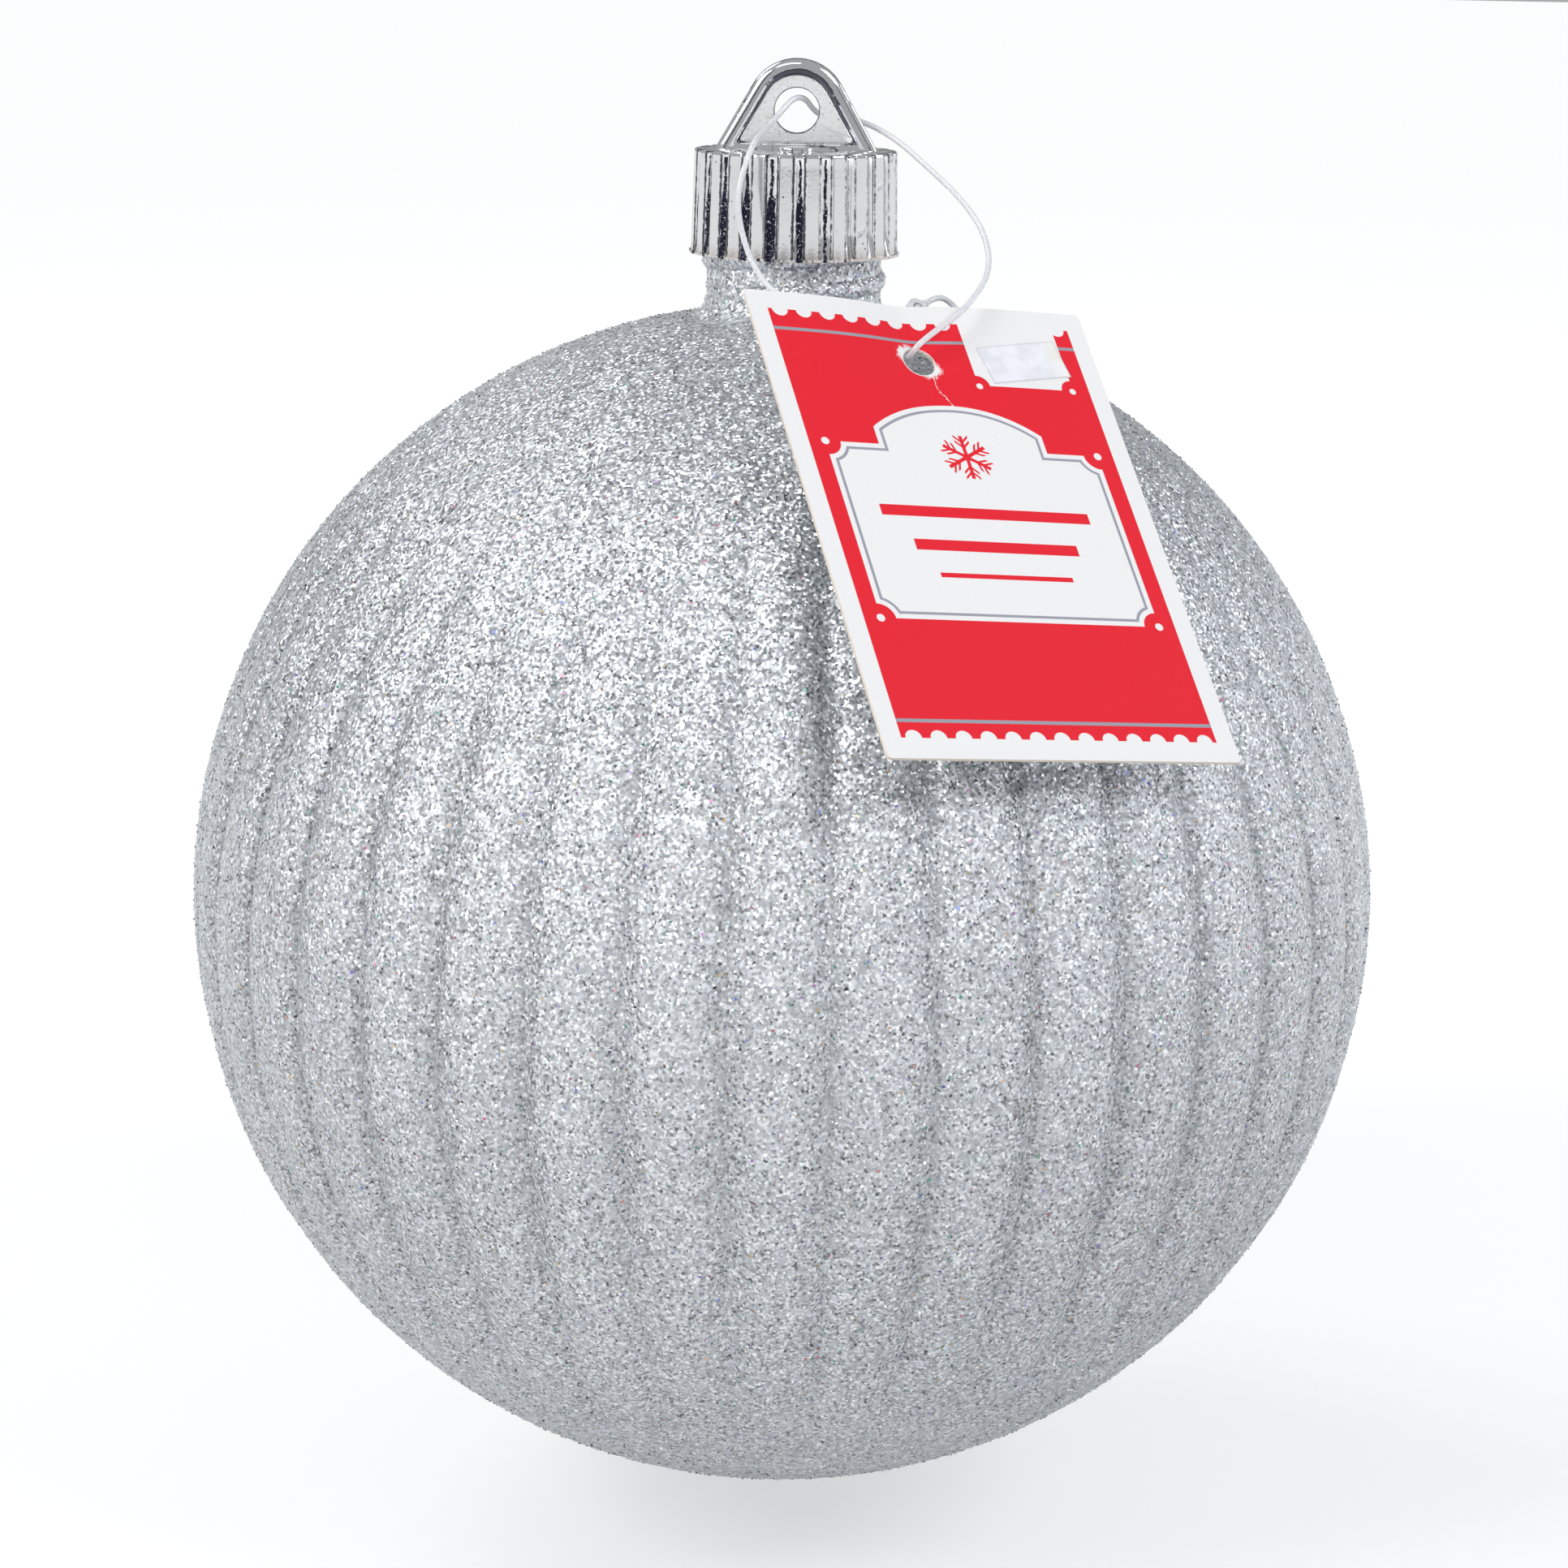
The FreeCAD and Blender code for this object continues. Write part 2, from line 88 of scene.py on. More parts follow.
LIGHTS = [  # name, place from the ball's centre, size, watts and tone
    ("key_right", (0.60, -0.52, 0.66), 0.34, 3.9, (0.95, 0.97, 1.0)),
    ("key_left", (-0.62, -0.56, 0.56), 0.34, 4.5, WHITE),
    ("rim", (0.75, 0.25, 0.30), 0.40, 0.9, (0.93, 0.96, 1.0)),
    ("top_left", (-0.55, 0.25, 0.75), 0.45, 2.35, WHITE),
]
BOARDS = [  # name, place from the ball's centre, and width
    ("board_left", (-0.27, -0.54, 0.02), 0.09),
    ("board_right", (0.42, -0.50, 0.02), 0.08),
]


# ------------------------------------------------------------------ sizes and colours
def length(name, text, default_mm):
    """A size in metres, given in millimetres."""
    return bpy.props.FloatProperty(name=name, description=text, default=default_mm * MM,
                                   min=0, unit="LENGTH", precision=5)


def angle(name, text, degrees):
    """An angle, given in degrees."""
    return bpy.props.FloatProperty(name=name, description=text, default=math.radians(degrees),
                                   subtype="ANGLE")


def count(name, text, default, low=0):
    """A whole number."""
    return bpy.props.IntProperty(name=name, description=text, default=default, min=low)


def colour(name, text, default):
    """A colour without alpha."""
    return bpy.props.FloatVectorProperty(name=name, description=text, default=default,
                                         subtype="COLOR", size=3, min=0, max=1)


class BallSettings(bpy.types.PropertyGroup):
    """Fluted ball and its glitter coat."""
    lobes: count("Lobes", "Lobes round the ball", 40, 3)
    groove: length("Groove depth", "Depth of a groove at the equator", 1.3)
    full_latitude: angle("Full depth to", "Latitude where the grooves start to fade", 15)
    end_latitude: angle("Fade ends at", "Latitude where the grooves are gone", 66)
    coat_room: length("Flake stand-out", "How far the loose flakes rise over the coat", 0.3)
    neck_radius: length("Neck radius", "Bare neck", 10.7)
    neck_flare: length("Neck flare", "Concave radius at the neck's foot", 2.8)
    neck_wall: length("Neck wall", "Thickness of the neck", 1.2)
    ridge: length("Thread height", "How far the thread stands out of the neck", 0.6)
    flake: length("Flake size", "Across one flake of glitter", 0.31)
    flakes: count("Loose flakes", "Flakes that stand out of the coat", 44000)
    silver: colour("Glitter", "Middle tone of the glitter", (0.60, 0.63, 0.66))


class CapSettings(bpy.types.PropertyGroup):
    """Screw cap and its hanger lug."""
    ribs: count("Ribs", "Grip ribs round the cap", 24, 6)
    top_radius: length("Top radius", "Over the ribs at the top", 12.45)
    foot_radius: length("Foot radius", "Over the ribs at the foot", 12.75)
    lip_radius: length("Lip radius", "Thin moulding lip round the foot", 13.1)
    bore_radius: length("Bore radius", "Inside the cap, between its thread's turns", 11.55)
    groove: length("Groove depth", "Depth between two ribs", 0.35)
    hole_drop: length("Hole height", "Hole centre over the cap's top", 4.7)
    hole_radius: length("Hole radius", "Hanger hole", 2.72)
    metal: colour("Metal", "Tone of the metallised finish", (0.86, 0.86, 0.87))


class TagSettings(bpy.types.PropertyGroup):
    """Printed card and its sticker."""
    width: length("Width", "Card width", 44.5)
    height: length("Height", "Card height", 64.0)
    thickness: length("Thickness", "Card thickness", 0.4)
    corner: length("Corner radius", "Rounding of the card's corners", 0.5)
    hole_radius: length("Hole radius", "Punched hole", 2.0)
    roll: angle("Roll", "Turn of the card in its own plane", 8.2)
    ink: colour("Ink", "Ground colour of the print", (0.735, 0.009, 0.024))
    board: colour("Board", "Bare card", (0.79, 0.785, 0.785))
    rule: colour("Rule", "Thin lines of the print", (0.30, 0.31, 0.36))


class LoopSettings(bpy.types.PropertyGroup):
    """Nylon loop fastener."""
    diameter: length("Diameter", "Nylon filament", 0.7)
    nylon: colour("Nylon", "Milky tone of the filament", (0.83, 0.84, 0.86))


class StageSettings(bpy.types.PropertyGroup):
    """Floor, lights and camera."""
    distance: length("Camera distance", "From the ball's centre", 450)
    rise: angle("Camera rise", "Camera's height above the ball's centre", 15.5)
    dip: angle("Camera dip", "How far the camera looks down", 13.8)
    lean: angle("Camera lean", "How far the camera leans to its side", 1.1)
    lens: bpy.props.FloatProperty(name="Lens", description="Focal length", default=80.19,
                                  unit="CAMERA")
    clearance: length("Clearance", "From the ball's foot down to the floor", 11.5)
    backdrop: colour("Backdrop", "Floor", (0.90, 0.90, 0.90))


GROUPS = {"ornament_ball": BallSettings, "ornament_cap": CapSettings, "ornament_tag": TagSettings,
          "ornament_loop": LoopSettings, "ornament_stage": StageSettings}


# ------------------------------------------------------------------ shader maths
def shaded(tone, share):
    """A colour times a number, no brighter than white."""
    return tuple(min(c * share, 1) for c in tone)


class Number:
    """A number in a material: plain expressions on it add the Math nodes."""

    def __init__(self, material, socket):
        self.material = material
        self.socket = socket

    def _math(self, operation, *others):
        values = [self] + list(others)
        return self.material.node("ShaderNodeMath", {"operation": operation},
                                  dict(enumerate(values)))

    def _reflected(self, operation, other):
        return self.material.node("ShaderNodeMath", {"operation": operation}, {0: other, 1: self})

    def __add__(self, other):
        return self._math("ADD", other)

    __radd__ = __add__

    def __sub__(self, other):
        return self._math("SUBTRACT", other)

    def __rsub__(self, other):
        return self._reflected("SUBTRACT", other)

    def __mul__(self, other):
        return self._math("MULTIPLY", other)

    __rmul__ = __mul__

    def __truediv__(self, other):
        return self._math("DIVIDE", other)

    def __rtruediv__(self, other):
        return self._reflected("DIVIDE", other)

    def __abs__(self):
        return self._math("ABSOLUTE")

    def angle(self, across):
        """Angle in radians of a point this far up and that far across."""
        return self._math("ARCTAN2", across)

    def floor(self):
        """Whole part."""
        return self._math("FLOOR")

    def at_least(self, other):
        """The larger of the two."""
        return self._math("MAXIMUM", other)

    def root(self):
        """Square root."""
        return self._math("SQRT")

    def wrapped(self, step):
        """The rest after whole steps, from 0 to step."""
        return self._math("FLOORED_MODULO", step)

    def below(self, edge, soft):
        """1 under the edge and 0 over it, with a soft change."""
        return self.material.node("ShaderNodeMapRange", {"interpolation_type": "SMOOTHSTEP"},
                                  {0: self, 1: edge - soft, 2: edge + soft, 3: 1.0, 4: 0.0})

    def above(self, edge, soft):
        """0 under the edge and 1 over it, with a soft change."""
        return self.material.node("ShaderNodeMapRange", {"interpolation_type": "SMOOTHSTEP"},
                                  {0: self, 1: edge - soft, 2: edge + soft, 3: 0.0, 4: 1.0})


class Material:
    """A material with one Principled shader, and the methods that add its other nodes."""

    def __init__(self, name, **constants):
        self.data = bpy.data.materials.new(name)
        self.data.use_nodes = True
        self.tree = self.data.node_tree
        self.shader = self.tree.nodes["Principled BSDF"]
        for socket, value in constants.items():
            self.shader.inputs[socket.replace("_", " ")].default_value = value

    def node(self, kind, settings=None, values=None, output=0):
        """A node: its settings first, then the values or links of its sockets."""
        made = self.tree.nodes.new(kind)
        settings = dict(settings or {})
        stops = settings.pop("stops", None)
        for name, value in settings.items():
            setattr(made, name, value)
        if stops:
            ramp = made.color_ramp
            while len(ramp.elements) < len(stops):
                ramp.elements.new(0.5)
            for element, (place, tone) in zip(ramp.elements, stops):
                element.position = place
                element.color = (*tone, 1)
        for socket, value in (values or {}).items():
            if isinstance(value, Number):
                self.tree.links.new(value.socket, made.inputs[socket])
            else:
                made.inputs[socket].default_value = value
        return Number(self, made.outputs[output])

    def feed(self, socket, value):
        """Link a value to the Principled shader."""
        self.tree.links.new(value.socket, self.shader.inputs[socket])

    def place(self):
        """Where a point of the piece is, in metres."""
        return self.node("ShaderNodeTexCoord", output="Object")

    def axes(self, vector):
        """The three numbers of a vector or colour."""
        split = self.tree.nodes.new("ShaderNodeSeparateXYZ")
        self.tree.links.new(vector.socket, split.inputs[0])
        return [Number(self, out) for out in split.outputs]

    def vector(self, operation, *values):
        """Vector maths."""
        return self.node("ShaderNodeVectorMath", {"operation": operation}, dict(enumerate(values)))

    def scaled(self, vector, factor):
        """A vector times a plain number."""
        return self.node("ShaderNodeVectorMath", {"operation": "SCALE"},
                         {0: vector, "Scale": factor})

    def mix(self, share, low, high):
        """From colour low to colour high."""
        low, high = (c if isinstance(c, Number) else (*c, 1) for c in (low, high))
        return self.node("ShaderNodeMix", {"data_type": "RGBA"},
                         {0: share, 6: low, 7: high}, output=2)

    def cloud(self, where, per_metre, detail=2.0, rough=0.5):
        """Soft noise from 0 to 1."""
        return self.node("ShaderNodeTexNoise", None, {"Vector": where, "Scale": per_metre,
                                                      "Detail": detail, "Roughness": rough})

    def cells(self, where, per_metre, output="Distance"):
        """Scattered cells: how far off the nearest cell's centre is, or where it is."""
        return self.node("ShaderNodeTexVoronoi", {"feature": "F1"},
                         {"Vector": where, "Scale": per_metre}, output=output)

    def dice(self, where):
        """A random colour for each value of a vector."""
        return self.node("ShaderNodeTexWhiteNoise", {"noise_dimensions": "3D"},
                         {"Vector": where}, output="Color")

    def attribute(self, name, output="Fac"):
        """What the mesh stores on its points under a name."""
        return self.node("ShaderNodeAttribute", {"attribute_name": name}, output=output)

    def bump(self, height, metres, strength=1.0):
        """Small relief of the given height, on the shader's normal."""
        self.feed("Normal", self.node("ShaderNodeBump", None, {"Height": height, "Distance": metres,
                                                               "Strength": strength}))


# ------------------------------------------------------------------ modelling helpers
def alone(piece):
    """Select just this object and make it active."""
    if bpy.context.object and bpy.context.object.mode != "OBJECT":
        bpy.ops.object.mode_set(mode="OBJECT")
    bpy.ops.object.select_all(action="DESELECT")
    piece.select_set(True)
    bpy.context.view_layer.objects.active = piece


def primitive(name, kind, scale=(1, 1, 1), **options):
    """Add a primitive mesh and put its scale, turn and place into its points."""
    bpy.ops.object.select_all(action="DESELECT")
    getattr(bpy.ops.mesh, f"primitive_{kind}_add")(**options)
    piece = bpy.context.object
    piece.scale = scale
    piece.name = piece.data.name = name
    alone(piece)
    bpy.ops.object.transform_apply(location=True, rotation=True, scale=True)
    return piece


def apply_all(piece):
    """Apply the piece's modifiers in order."""
    alone(piece)
    for modifier in list(piece.modifiers):
        bpy.ops.object.modifier_apply(modifier=modifier.name)


def join(main, *others):
    """Join other meshes into the first."""
    alone(main)
    for other in others:
        other.select_set(True)
    bpy.ops.object.join()
    return main


def smooth(piece, degrees):
    """Smooth shading, with edges sharper than the angle left sharp."""
    alone(piece)
    bpy.ops.object.shade_smooth_by_angle(angle=math.radians(degrees))


def turned(name, profile, sides):
    """A ring extruded from one (radius, height) to the next, with both its ends left open."""
    radius, height = profile[0]
    piece = primitive(name, "circle", vertices=sides, radius=radius, location=(0, 0, height))
    bpy.ops.object.mode_set(mode="EDIT")
    bpy.ops.mesh.select_all(action="SELECT")
    for next_radius, next_height in profile[1:]:
        bpy.ops.mesh.extrude_edges_move(
            TRANSFORM_OT_translate={"value": (0, 0, next_height - height)})
        if abs(next_radius - radius) > 1e-9:
            share = next_radius / radius
            bpy.ops.transform.resize(value=(share, share, 1), center_override=(0, 0, next_height))
        radius, height = next_radius, next_height
    bpy.ops.object.mode_set(mode="OBJECT")
    return piece


def select_rims():
    """In edit mode, select just the open edges."""
    bpy.ops.mesh.select_all(action="DESELECT")
    bpy.ops.mesh.select_mode(type="EDGE")
    bpy.ops.mesh.select_non_manifold(extend=False, use_wire=False, use_multi_face=False,
                                     use_non_contiguous=False, use_verts=False)


def in_order(piece):
    """List points, faces and corners by where they lie: operators leave their order to chance."""
    mesh = bmesh.new()
    mesh.from_mesh(piece.data)
    for vertex in mesh.verts:
        vertex.co = [round(c, PLACES) for c in vertex.co]
    by_place = sorted(mesh.verts, key=lambda vertex: tuple(vertex.co))
    rank = {vertex.index: n for n, vertex in enumerate(by_place)}
    mesh.verts.sort(key=lambda vertex: rank[vertex.index])
    mesh.verts.index_update()
    rows = []
    for face in mesh.faces:
        corners = [vertex.index for vertex in face.verts]
        first = corners.index(min(corners))
        rows.append(corners[first:] + corners[:first])
    bmesh.ops.delete(mesh, geom=mesh.edges[:], context="EDGES_FACES")
    mesh.verts.ensure_lookup_table()
    for row in sorted(rows):
        mesh.faces.new([mesh.verts[index] for index in row])
    mesh.to_mesh(piece.data)
    mesh.free()


def cleaned(piece):
    """Merge what coincides, close any open rim, face outwards, and put the mesh in order."""
    alone(piece)
    bpy.ops.object.mode_set(mode="EDIT")
    bpy.ops.mesh.select_all(action="SELECT")
    bpy.ops.mesh.remove_doubles(threshold=MERGE_DISTANCE)
    select_rims()
    if any(edge.select for edge in bmesh.from_edit_mesh(piece.data).edges):
        bpy.ops.mesh.fill_holes(sides=0)
    bpy.ops.mesh.select_mode(type="VERT")
    bpy.ops.mesh.select_all(action="SELECT")
    bpy.ops.mesh.normals_make_consistent(inside=False)
    bpy.ops.object.mode_set(mode="OBJECT")
    in_order(piece)


def sink(piece, metres, share_at):
    """Push points in along their normals by a share of a depth; share_at(point) is from 0 to 1."""
    mesh = bmesh.new()
    mesh.from_mesh(piece.data)
    mesh.normal_update()
    for vertex in mesh.verts:
        vertex.co -= vertex.normal * (metres * share_at(vertex.co))
    mesh.to_mesh(piece.data)
    mesh.free()


def mark(piece, name, value_at):
    """Store a number on every point of a mesh for its material to read."""
    values = piece.data.attributes.new(name, "FLOAT", "POINT").data
    for vertex in piece.data.vertices:
        values[vertex.index].value = value_at(vertex.co)


def smoothstep(x):
    """0 below 0, 1 above 1, and smooth between."""
    x = min(max(x, 0), 1)
    return x * x * (3 - 2 * x)


def thread_ridge(name, root, crest, widths, start_degrees, turns, z_at_zero, embed):
    """Right-hand thread: a closed profile swept by a Screw modifier, running out at both ends."""
    side = 1 if crest > root else -1
    deep = root - side * embed
    ridge = primitive(name, "circle", vertices=8, radius=1 * MM, rotation=(math.pi / 2, 0, 0))
    wide, narrow = widths[0] / 2, widths[1] / 2
    near_crest = root + side * abs(crest - root) * 0.82
    outline = [(deep, -wide), (root, -wide * 0.95), (near_crest, -narrow), (crest, -narrow * 0.6),
               (crest, narrow * 0.6), (near_crest, narrow), (root, wide * 0.95), (deep, wide)]
    order = sorted(ridge.data.vertices, key=lambda v: math.atan2(v.co.z, v.co.x))
    turn = sorted(outline, key=lambda p: math.atan2(p[1], p[0] - (root + crest) / 2))
    for vertex, (radius, height) in zip(order, turn):
        vertex.co = (radius, 0, height)
    sweep = ridge.modifiers.new("sweep", "SCREW")
    sweep.axis = "Z"
    sweep.angle = math.tau * turns
    sweep.screw_offset = THREAD_PITCH * turns
    sweep.steps = sweep.render_steps = int(72 * turns)
    sweep.use_normal_calculate = True
    apply_all(ridge)
    end = THREAD_PITCH * turns
    run_out = THREAD_PITCH * 0.12
    for vertex in ridge.data.vertices:
        around = math.atan2(vertex.co.y, vertex.co.x) / math.tau % 1
        middle = around + round(vertex.co.z / THREAD_PITCH - around)
        along = min(max(middle * THREAD_PITCH, 0), end)
        fade = smoothstep(along / run_out) * smoothstep((end - along) / run_out)
        flat = math.hypot(vertex.co.x, vertex.co.y)
        if (flat - root) * side > 0:
            share = (root + (flat - root) * fade - (1 - fade) * side * 0.05 * MM) / flat
            vertex.co.x *= share
            vertex.co.y *= share
    ridge.data.transform(Matrix.Rotation(math.radians(start_degrees), 4, "Z"))
    ridge.data.transform(Matrix.Translation((0, 0, z_at_zero + THREAD_PITCH * start_degrees / 360)))
    cleaned(ridge)
    return ridge


# ------------------------------------------------------------------ finishes
def flake_normal(mat, random_colour, tilt):
    """The surface normal, tipped by a random colour."""
    normal = mat.node("ShaderNodeNewGeometry", output="Normal")
    tip = mat.scaled(mat.vector("SUBTRACT", random_colour, (0.5, 0.5, 0.5)), tilt)
    return mat.vector("NORMALIZE", mat.vector("ADD", normal, tip))


def glitter_tone(mat, random_colour, silver):
    """Colour of one flake: mostly mid silver, some dark, some bright, and a rare coloured one,
    darkened in the ball's grooves as painted shade.
    """
    tone, warmth, rare = mat.axes(random_colour)
    dark = shaded(silver, 0.22)
    low = shaded(silver, 0.78)
    pale = shaded(silver, 1.35)
    shade = mat.node("ShaderNodeValToRGB",
                     {"stops": [(0.0, dark), (0.10, low), (0.55, silver), (0.84, pale),
                                (0.95, (1.0, 1.0, 1.0))]}, {"Fac": tone})
    shade = mat.mix(warmth * 0.12, shade, (0.78, 0.72, 0.68))
    # painted shade: darker flakes in the ball's grooves
    shade = mat.mix(mat.attribute("painted_groove_shade") * 0.34, shade, shaded(silver, 0.42))
    hue = mat.node("ShaderNodeValToRGB",
                   {"stops": [(0.0, (0.75, 0.10, 0.12)), (0.3, (0.12, 0.20, 0.75)),
                              (0.55, (0.75, 0.40, 0.12)), (0.8, (0.05, 0.35, 0.22))]},
                   {"Fac": warmth})
    return mat.mix(rare.above(0.994, 0.001) * 0.8, shade, hue)


def glitter_coat(silver, flake):
    """Dense glitter: a random little mirror in each cell, over a thin lacquer."""
    mat = Material("glitter_coat", Metallic=1.0, Specular_IOR_Level=0.5)
    where = mat.place()
    cells = mat.cells(where, 1 / flake, "Position")
    chance = mat.dice(cells)
    tip = mat.dice(mat.scaled(cells, 7.31))
    tone = glitter_tone(mat, chance, silver)
    patchy = mat.cloud(where, 90, 3.0)
    mat.feed("Base Color", mat.mix(patchy * 0.18, tone, shaded(silver, 0.6)))
    spread = mat.axes(tip)[2]
    mat.feed("Roughness", 0.30 + spread * 0.28)
    mat.feed("Normal", flake_normal(mat, tip, 0.90))
    return mat.data


def glitter_flakes(silver):
    """The loose flakes: each carries its own random colour in the flake attribute."""
    mat = Material("glitter_flakes", Metallic=1.0, Specular_IOR_Level=0.5)
    chance = mat.attribute("flake", "Vector")
    mat.feed("Base Color", glitter_tone(mat, chance, silver))
    mat.feed("Roughness", 0.14 + mat.axes(chance)[1] * 0.22)
    return mat.data


def groove_painted_reflections(mat, where, settings):
    """In the cap's grooves: painted dark reflections, painted highlights, and how much the painted
    dark lines along their edges fade.
    """
    x, y, height = mat.axes(where)
    pitch = math.tau / settings.ribs
    turn = y.angle(x) + (pitch / 2 - GROOVE_START)
    off = (turn.wrapped(pitch) - pitch / 2) * (settings.top_radius / MM)
    number = (turn / pitch).floor()
    chance = mat.axes(mat.node("ShaderNodeTexWhiteNoise", {"noise_dimensions": "1D"},
                               {"W": number * 1.37 + 4.2}, output="Color"))
    rough = mat.cloud(mat.vector("MULTIPLY", where, (1.0, 1.0, 0.35)), 2200, 4.0, 0.75) - 0.5
    on_side = height.below(-settings.hole_drop - 0.5 * MM, 0.1 * MM)
    centre = (chance[0] - 0.5) * 0.5
    # the painted reflections are heaviest towards -X and at the foot
    heavy = (x - chance[1] * MM).below(1.2 * MM, 0.3 * MM)
    spots = mat.cloud(where, 3300, 3.0, 0.7)
    foot = (height + rough * 7 * MM).below(CAP_FOOT + 7.4 * MM, 1.2 * MM) * heavy
    wide = (0.12 + chance[1] * 0.12) + foot * (0.16 + chance[2] * 0.24)
    painted_line_fade = on_side * (1 - heavy) * 0.24
    dark = abs(off - centre + rough * 0.9).below(wide, 0.06) * on_side * spots.below(0.62, 0.03)
    bright = abs(off - centre - 0.40 + rough * 0.7).below(0.42, 0.08) * on_side
    slim = x.above(2.4 * MM, 0.3 * MM) * x.below(4.9 * MM, 0.3 * MM)
    return dark * (0.45 + heavy * 0.55 + slim * 0.55), bright * heavy * (1 - foot), painted_line_fade


def metallised(settings):
    """Metallised plastic: mirror bright, with pits, scratches, painted dark edge lines, painted
    dark reflections and highlights in its grooves, and a grainy web.
    """
    metal = tuple(settings.metal)
    mat = Material("metallised_plastic", Metallic=1.0)
    where = mat.place()
    height = mat.axes(where)[2]
    # painted dark reflections and painted highlights in the cap's grooves
    painted_dark_reflection, painted_highlight, painted_line_fade = groove_painted_reflections(mat, where, settings)
    stretched = mat.node("ShaderNodeMapping", {"vector_type": "POINT"},
                         {"Vector": where, "Scale": (1.0, 1.0, 0.12)})
    pits = mat.cells(where, 900.0)
    pit = pits.below(0.10, 0.03) * mat.cloud(where, 260, 2.0).above(0.56, 0.05)
    streaks = mat.cloud(stretched, 1500, 4.0, 0.7).above(0.68, 0.02)
    streak = streaks * mat.cloud(where, 170, 2.0).above(0.55, 0.04)
    # painted dark reflection lines along the cap's rib edges and round the lug, made ragged
    edge = mat.attribute("painted_dark_line")
    frayed = (mat.cloud(where, 1300, 3.0, 0.7) - 0.5) * 0.9
    ragged_painted_lines = (edge * (1 - painted_line_fade) + frayed).above(0.55, 0.12)
    grain = mat.attribute("grain")
    speck = mat.cloud(where, 3600, 3.0, 0.75)
    fleck = speck.below(0.40, 0.03) * grain
    # real pits, scratches and web flecks, joined by the painted dark lines and painted dark
    # reflections
    flaws_and_painted_dark = pit.at_least(streak * 0.85).at_least(ragged_painted_lines * 0.92).at_least(fleck * 0.35)
    # painted dark reflections in the grooves
    flaws_and_painted_dark = flaws_and_painted_dark.at_least(painted_dark_reflection)
    tarnish = height.below(CAP_FOOT + 1.0 * MM, 0.9 * MM) * mat.cloud(where, 420, 3.0)
    tone = mat.mix(mat.cloud(where, 130, 2.0) * 0.16, metal, (0.70, 0.71, 0.74))
    # paler grainy web, and painted highlights in the grooves
    tone = mat.mix((grain * 0.9).at_least(painted_highlight), tone, (1.0, 1.0, 1.0))
    tone = mat.mix(tarnish * 0.75, tone, (0.42, 0.31, 0.22))
    mat.feed("Base Color", mat.mix(flaws_and_painted_dark, tone, (0.02, 0.02, 0.04)))
    haze = mat.cloud(where, 700, 3.0)
    mat.feed("Roughness", 0.045 + haze * 0.06 + flaws_and_painted_dark * 0.30 + grain * 0.22)
    wave = mat.cloud(stretched, 420, 2.0) + mat.cloud(where, 2600, 2.0) * 0.10
    mat.bump(wave - flaws_and_painted_dark * 0.4 + speck * grain * 0.8, 0.05 * MM, 0.55)
    return mat.data


def foam(tone):
    """Closed-cell foam of the sealing disc."""
    mat = Material("liner_foam", Roughness=0.75)
    where = mat.place()
    cells = mat.cells(where, 2400.0)
    mat.feed("Base Color", mat.mix(cells * 0.5, tone, shaded(tone, 0.72)))
    mat.bump(cells, 0.06 * MM)
    return mat.data


def milky_nylon(tone):
    """Translucent nylon with drawn streaks and a cloudy core."""
    mat = Material("milky_nylon", Transmission_Weight=0.35, IOR=1.53, Specular_IOR_Level=0.6)
    where = mat.place()
    cloudy = mat.cloud(where, 480, 3.0)
    mat.feed("Base Color", mat.mix(cloudy, tone, shaded(tone, 1.08)))
    mat.feed("Roughness", 0.20 + mat.cloud(where, 1900, 2.0) * 0.20)
    mat.bump(mat.cloud(where, 3200, 2.0), 0.02 * MM, 0.6)
    return mat.data


def card_fibre(mat, where):
    """Fine relief of coated board."""
    mat.bump(mat.cloud(where, 2600, 4.0, 0.6), 0.012 * MM, 0.5)


def bare_card(name, tone):
    """Unprinted board: the card's back or its cut edge."""
    mat = Material(name, Roughness=0.8)
    where = mat.place()
    fibres = mat.cloud(where, 1800, 5.0, 0.65)
    mat.feed("Base Color", mat.mix(fibres, shaded(tone, 0.88), tone))
    card_fibre(mat, where)
    return mat.data


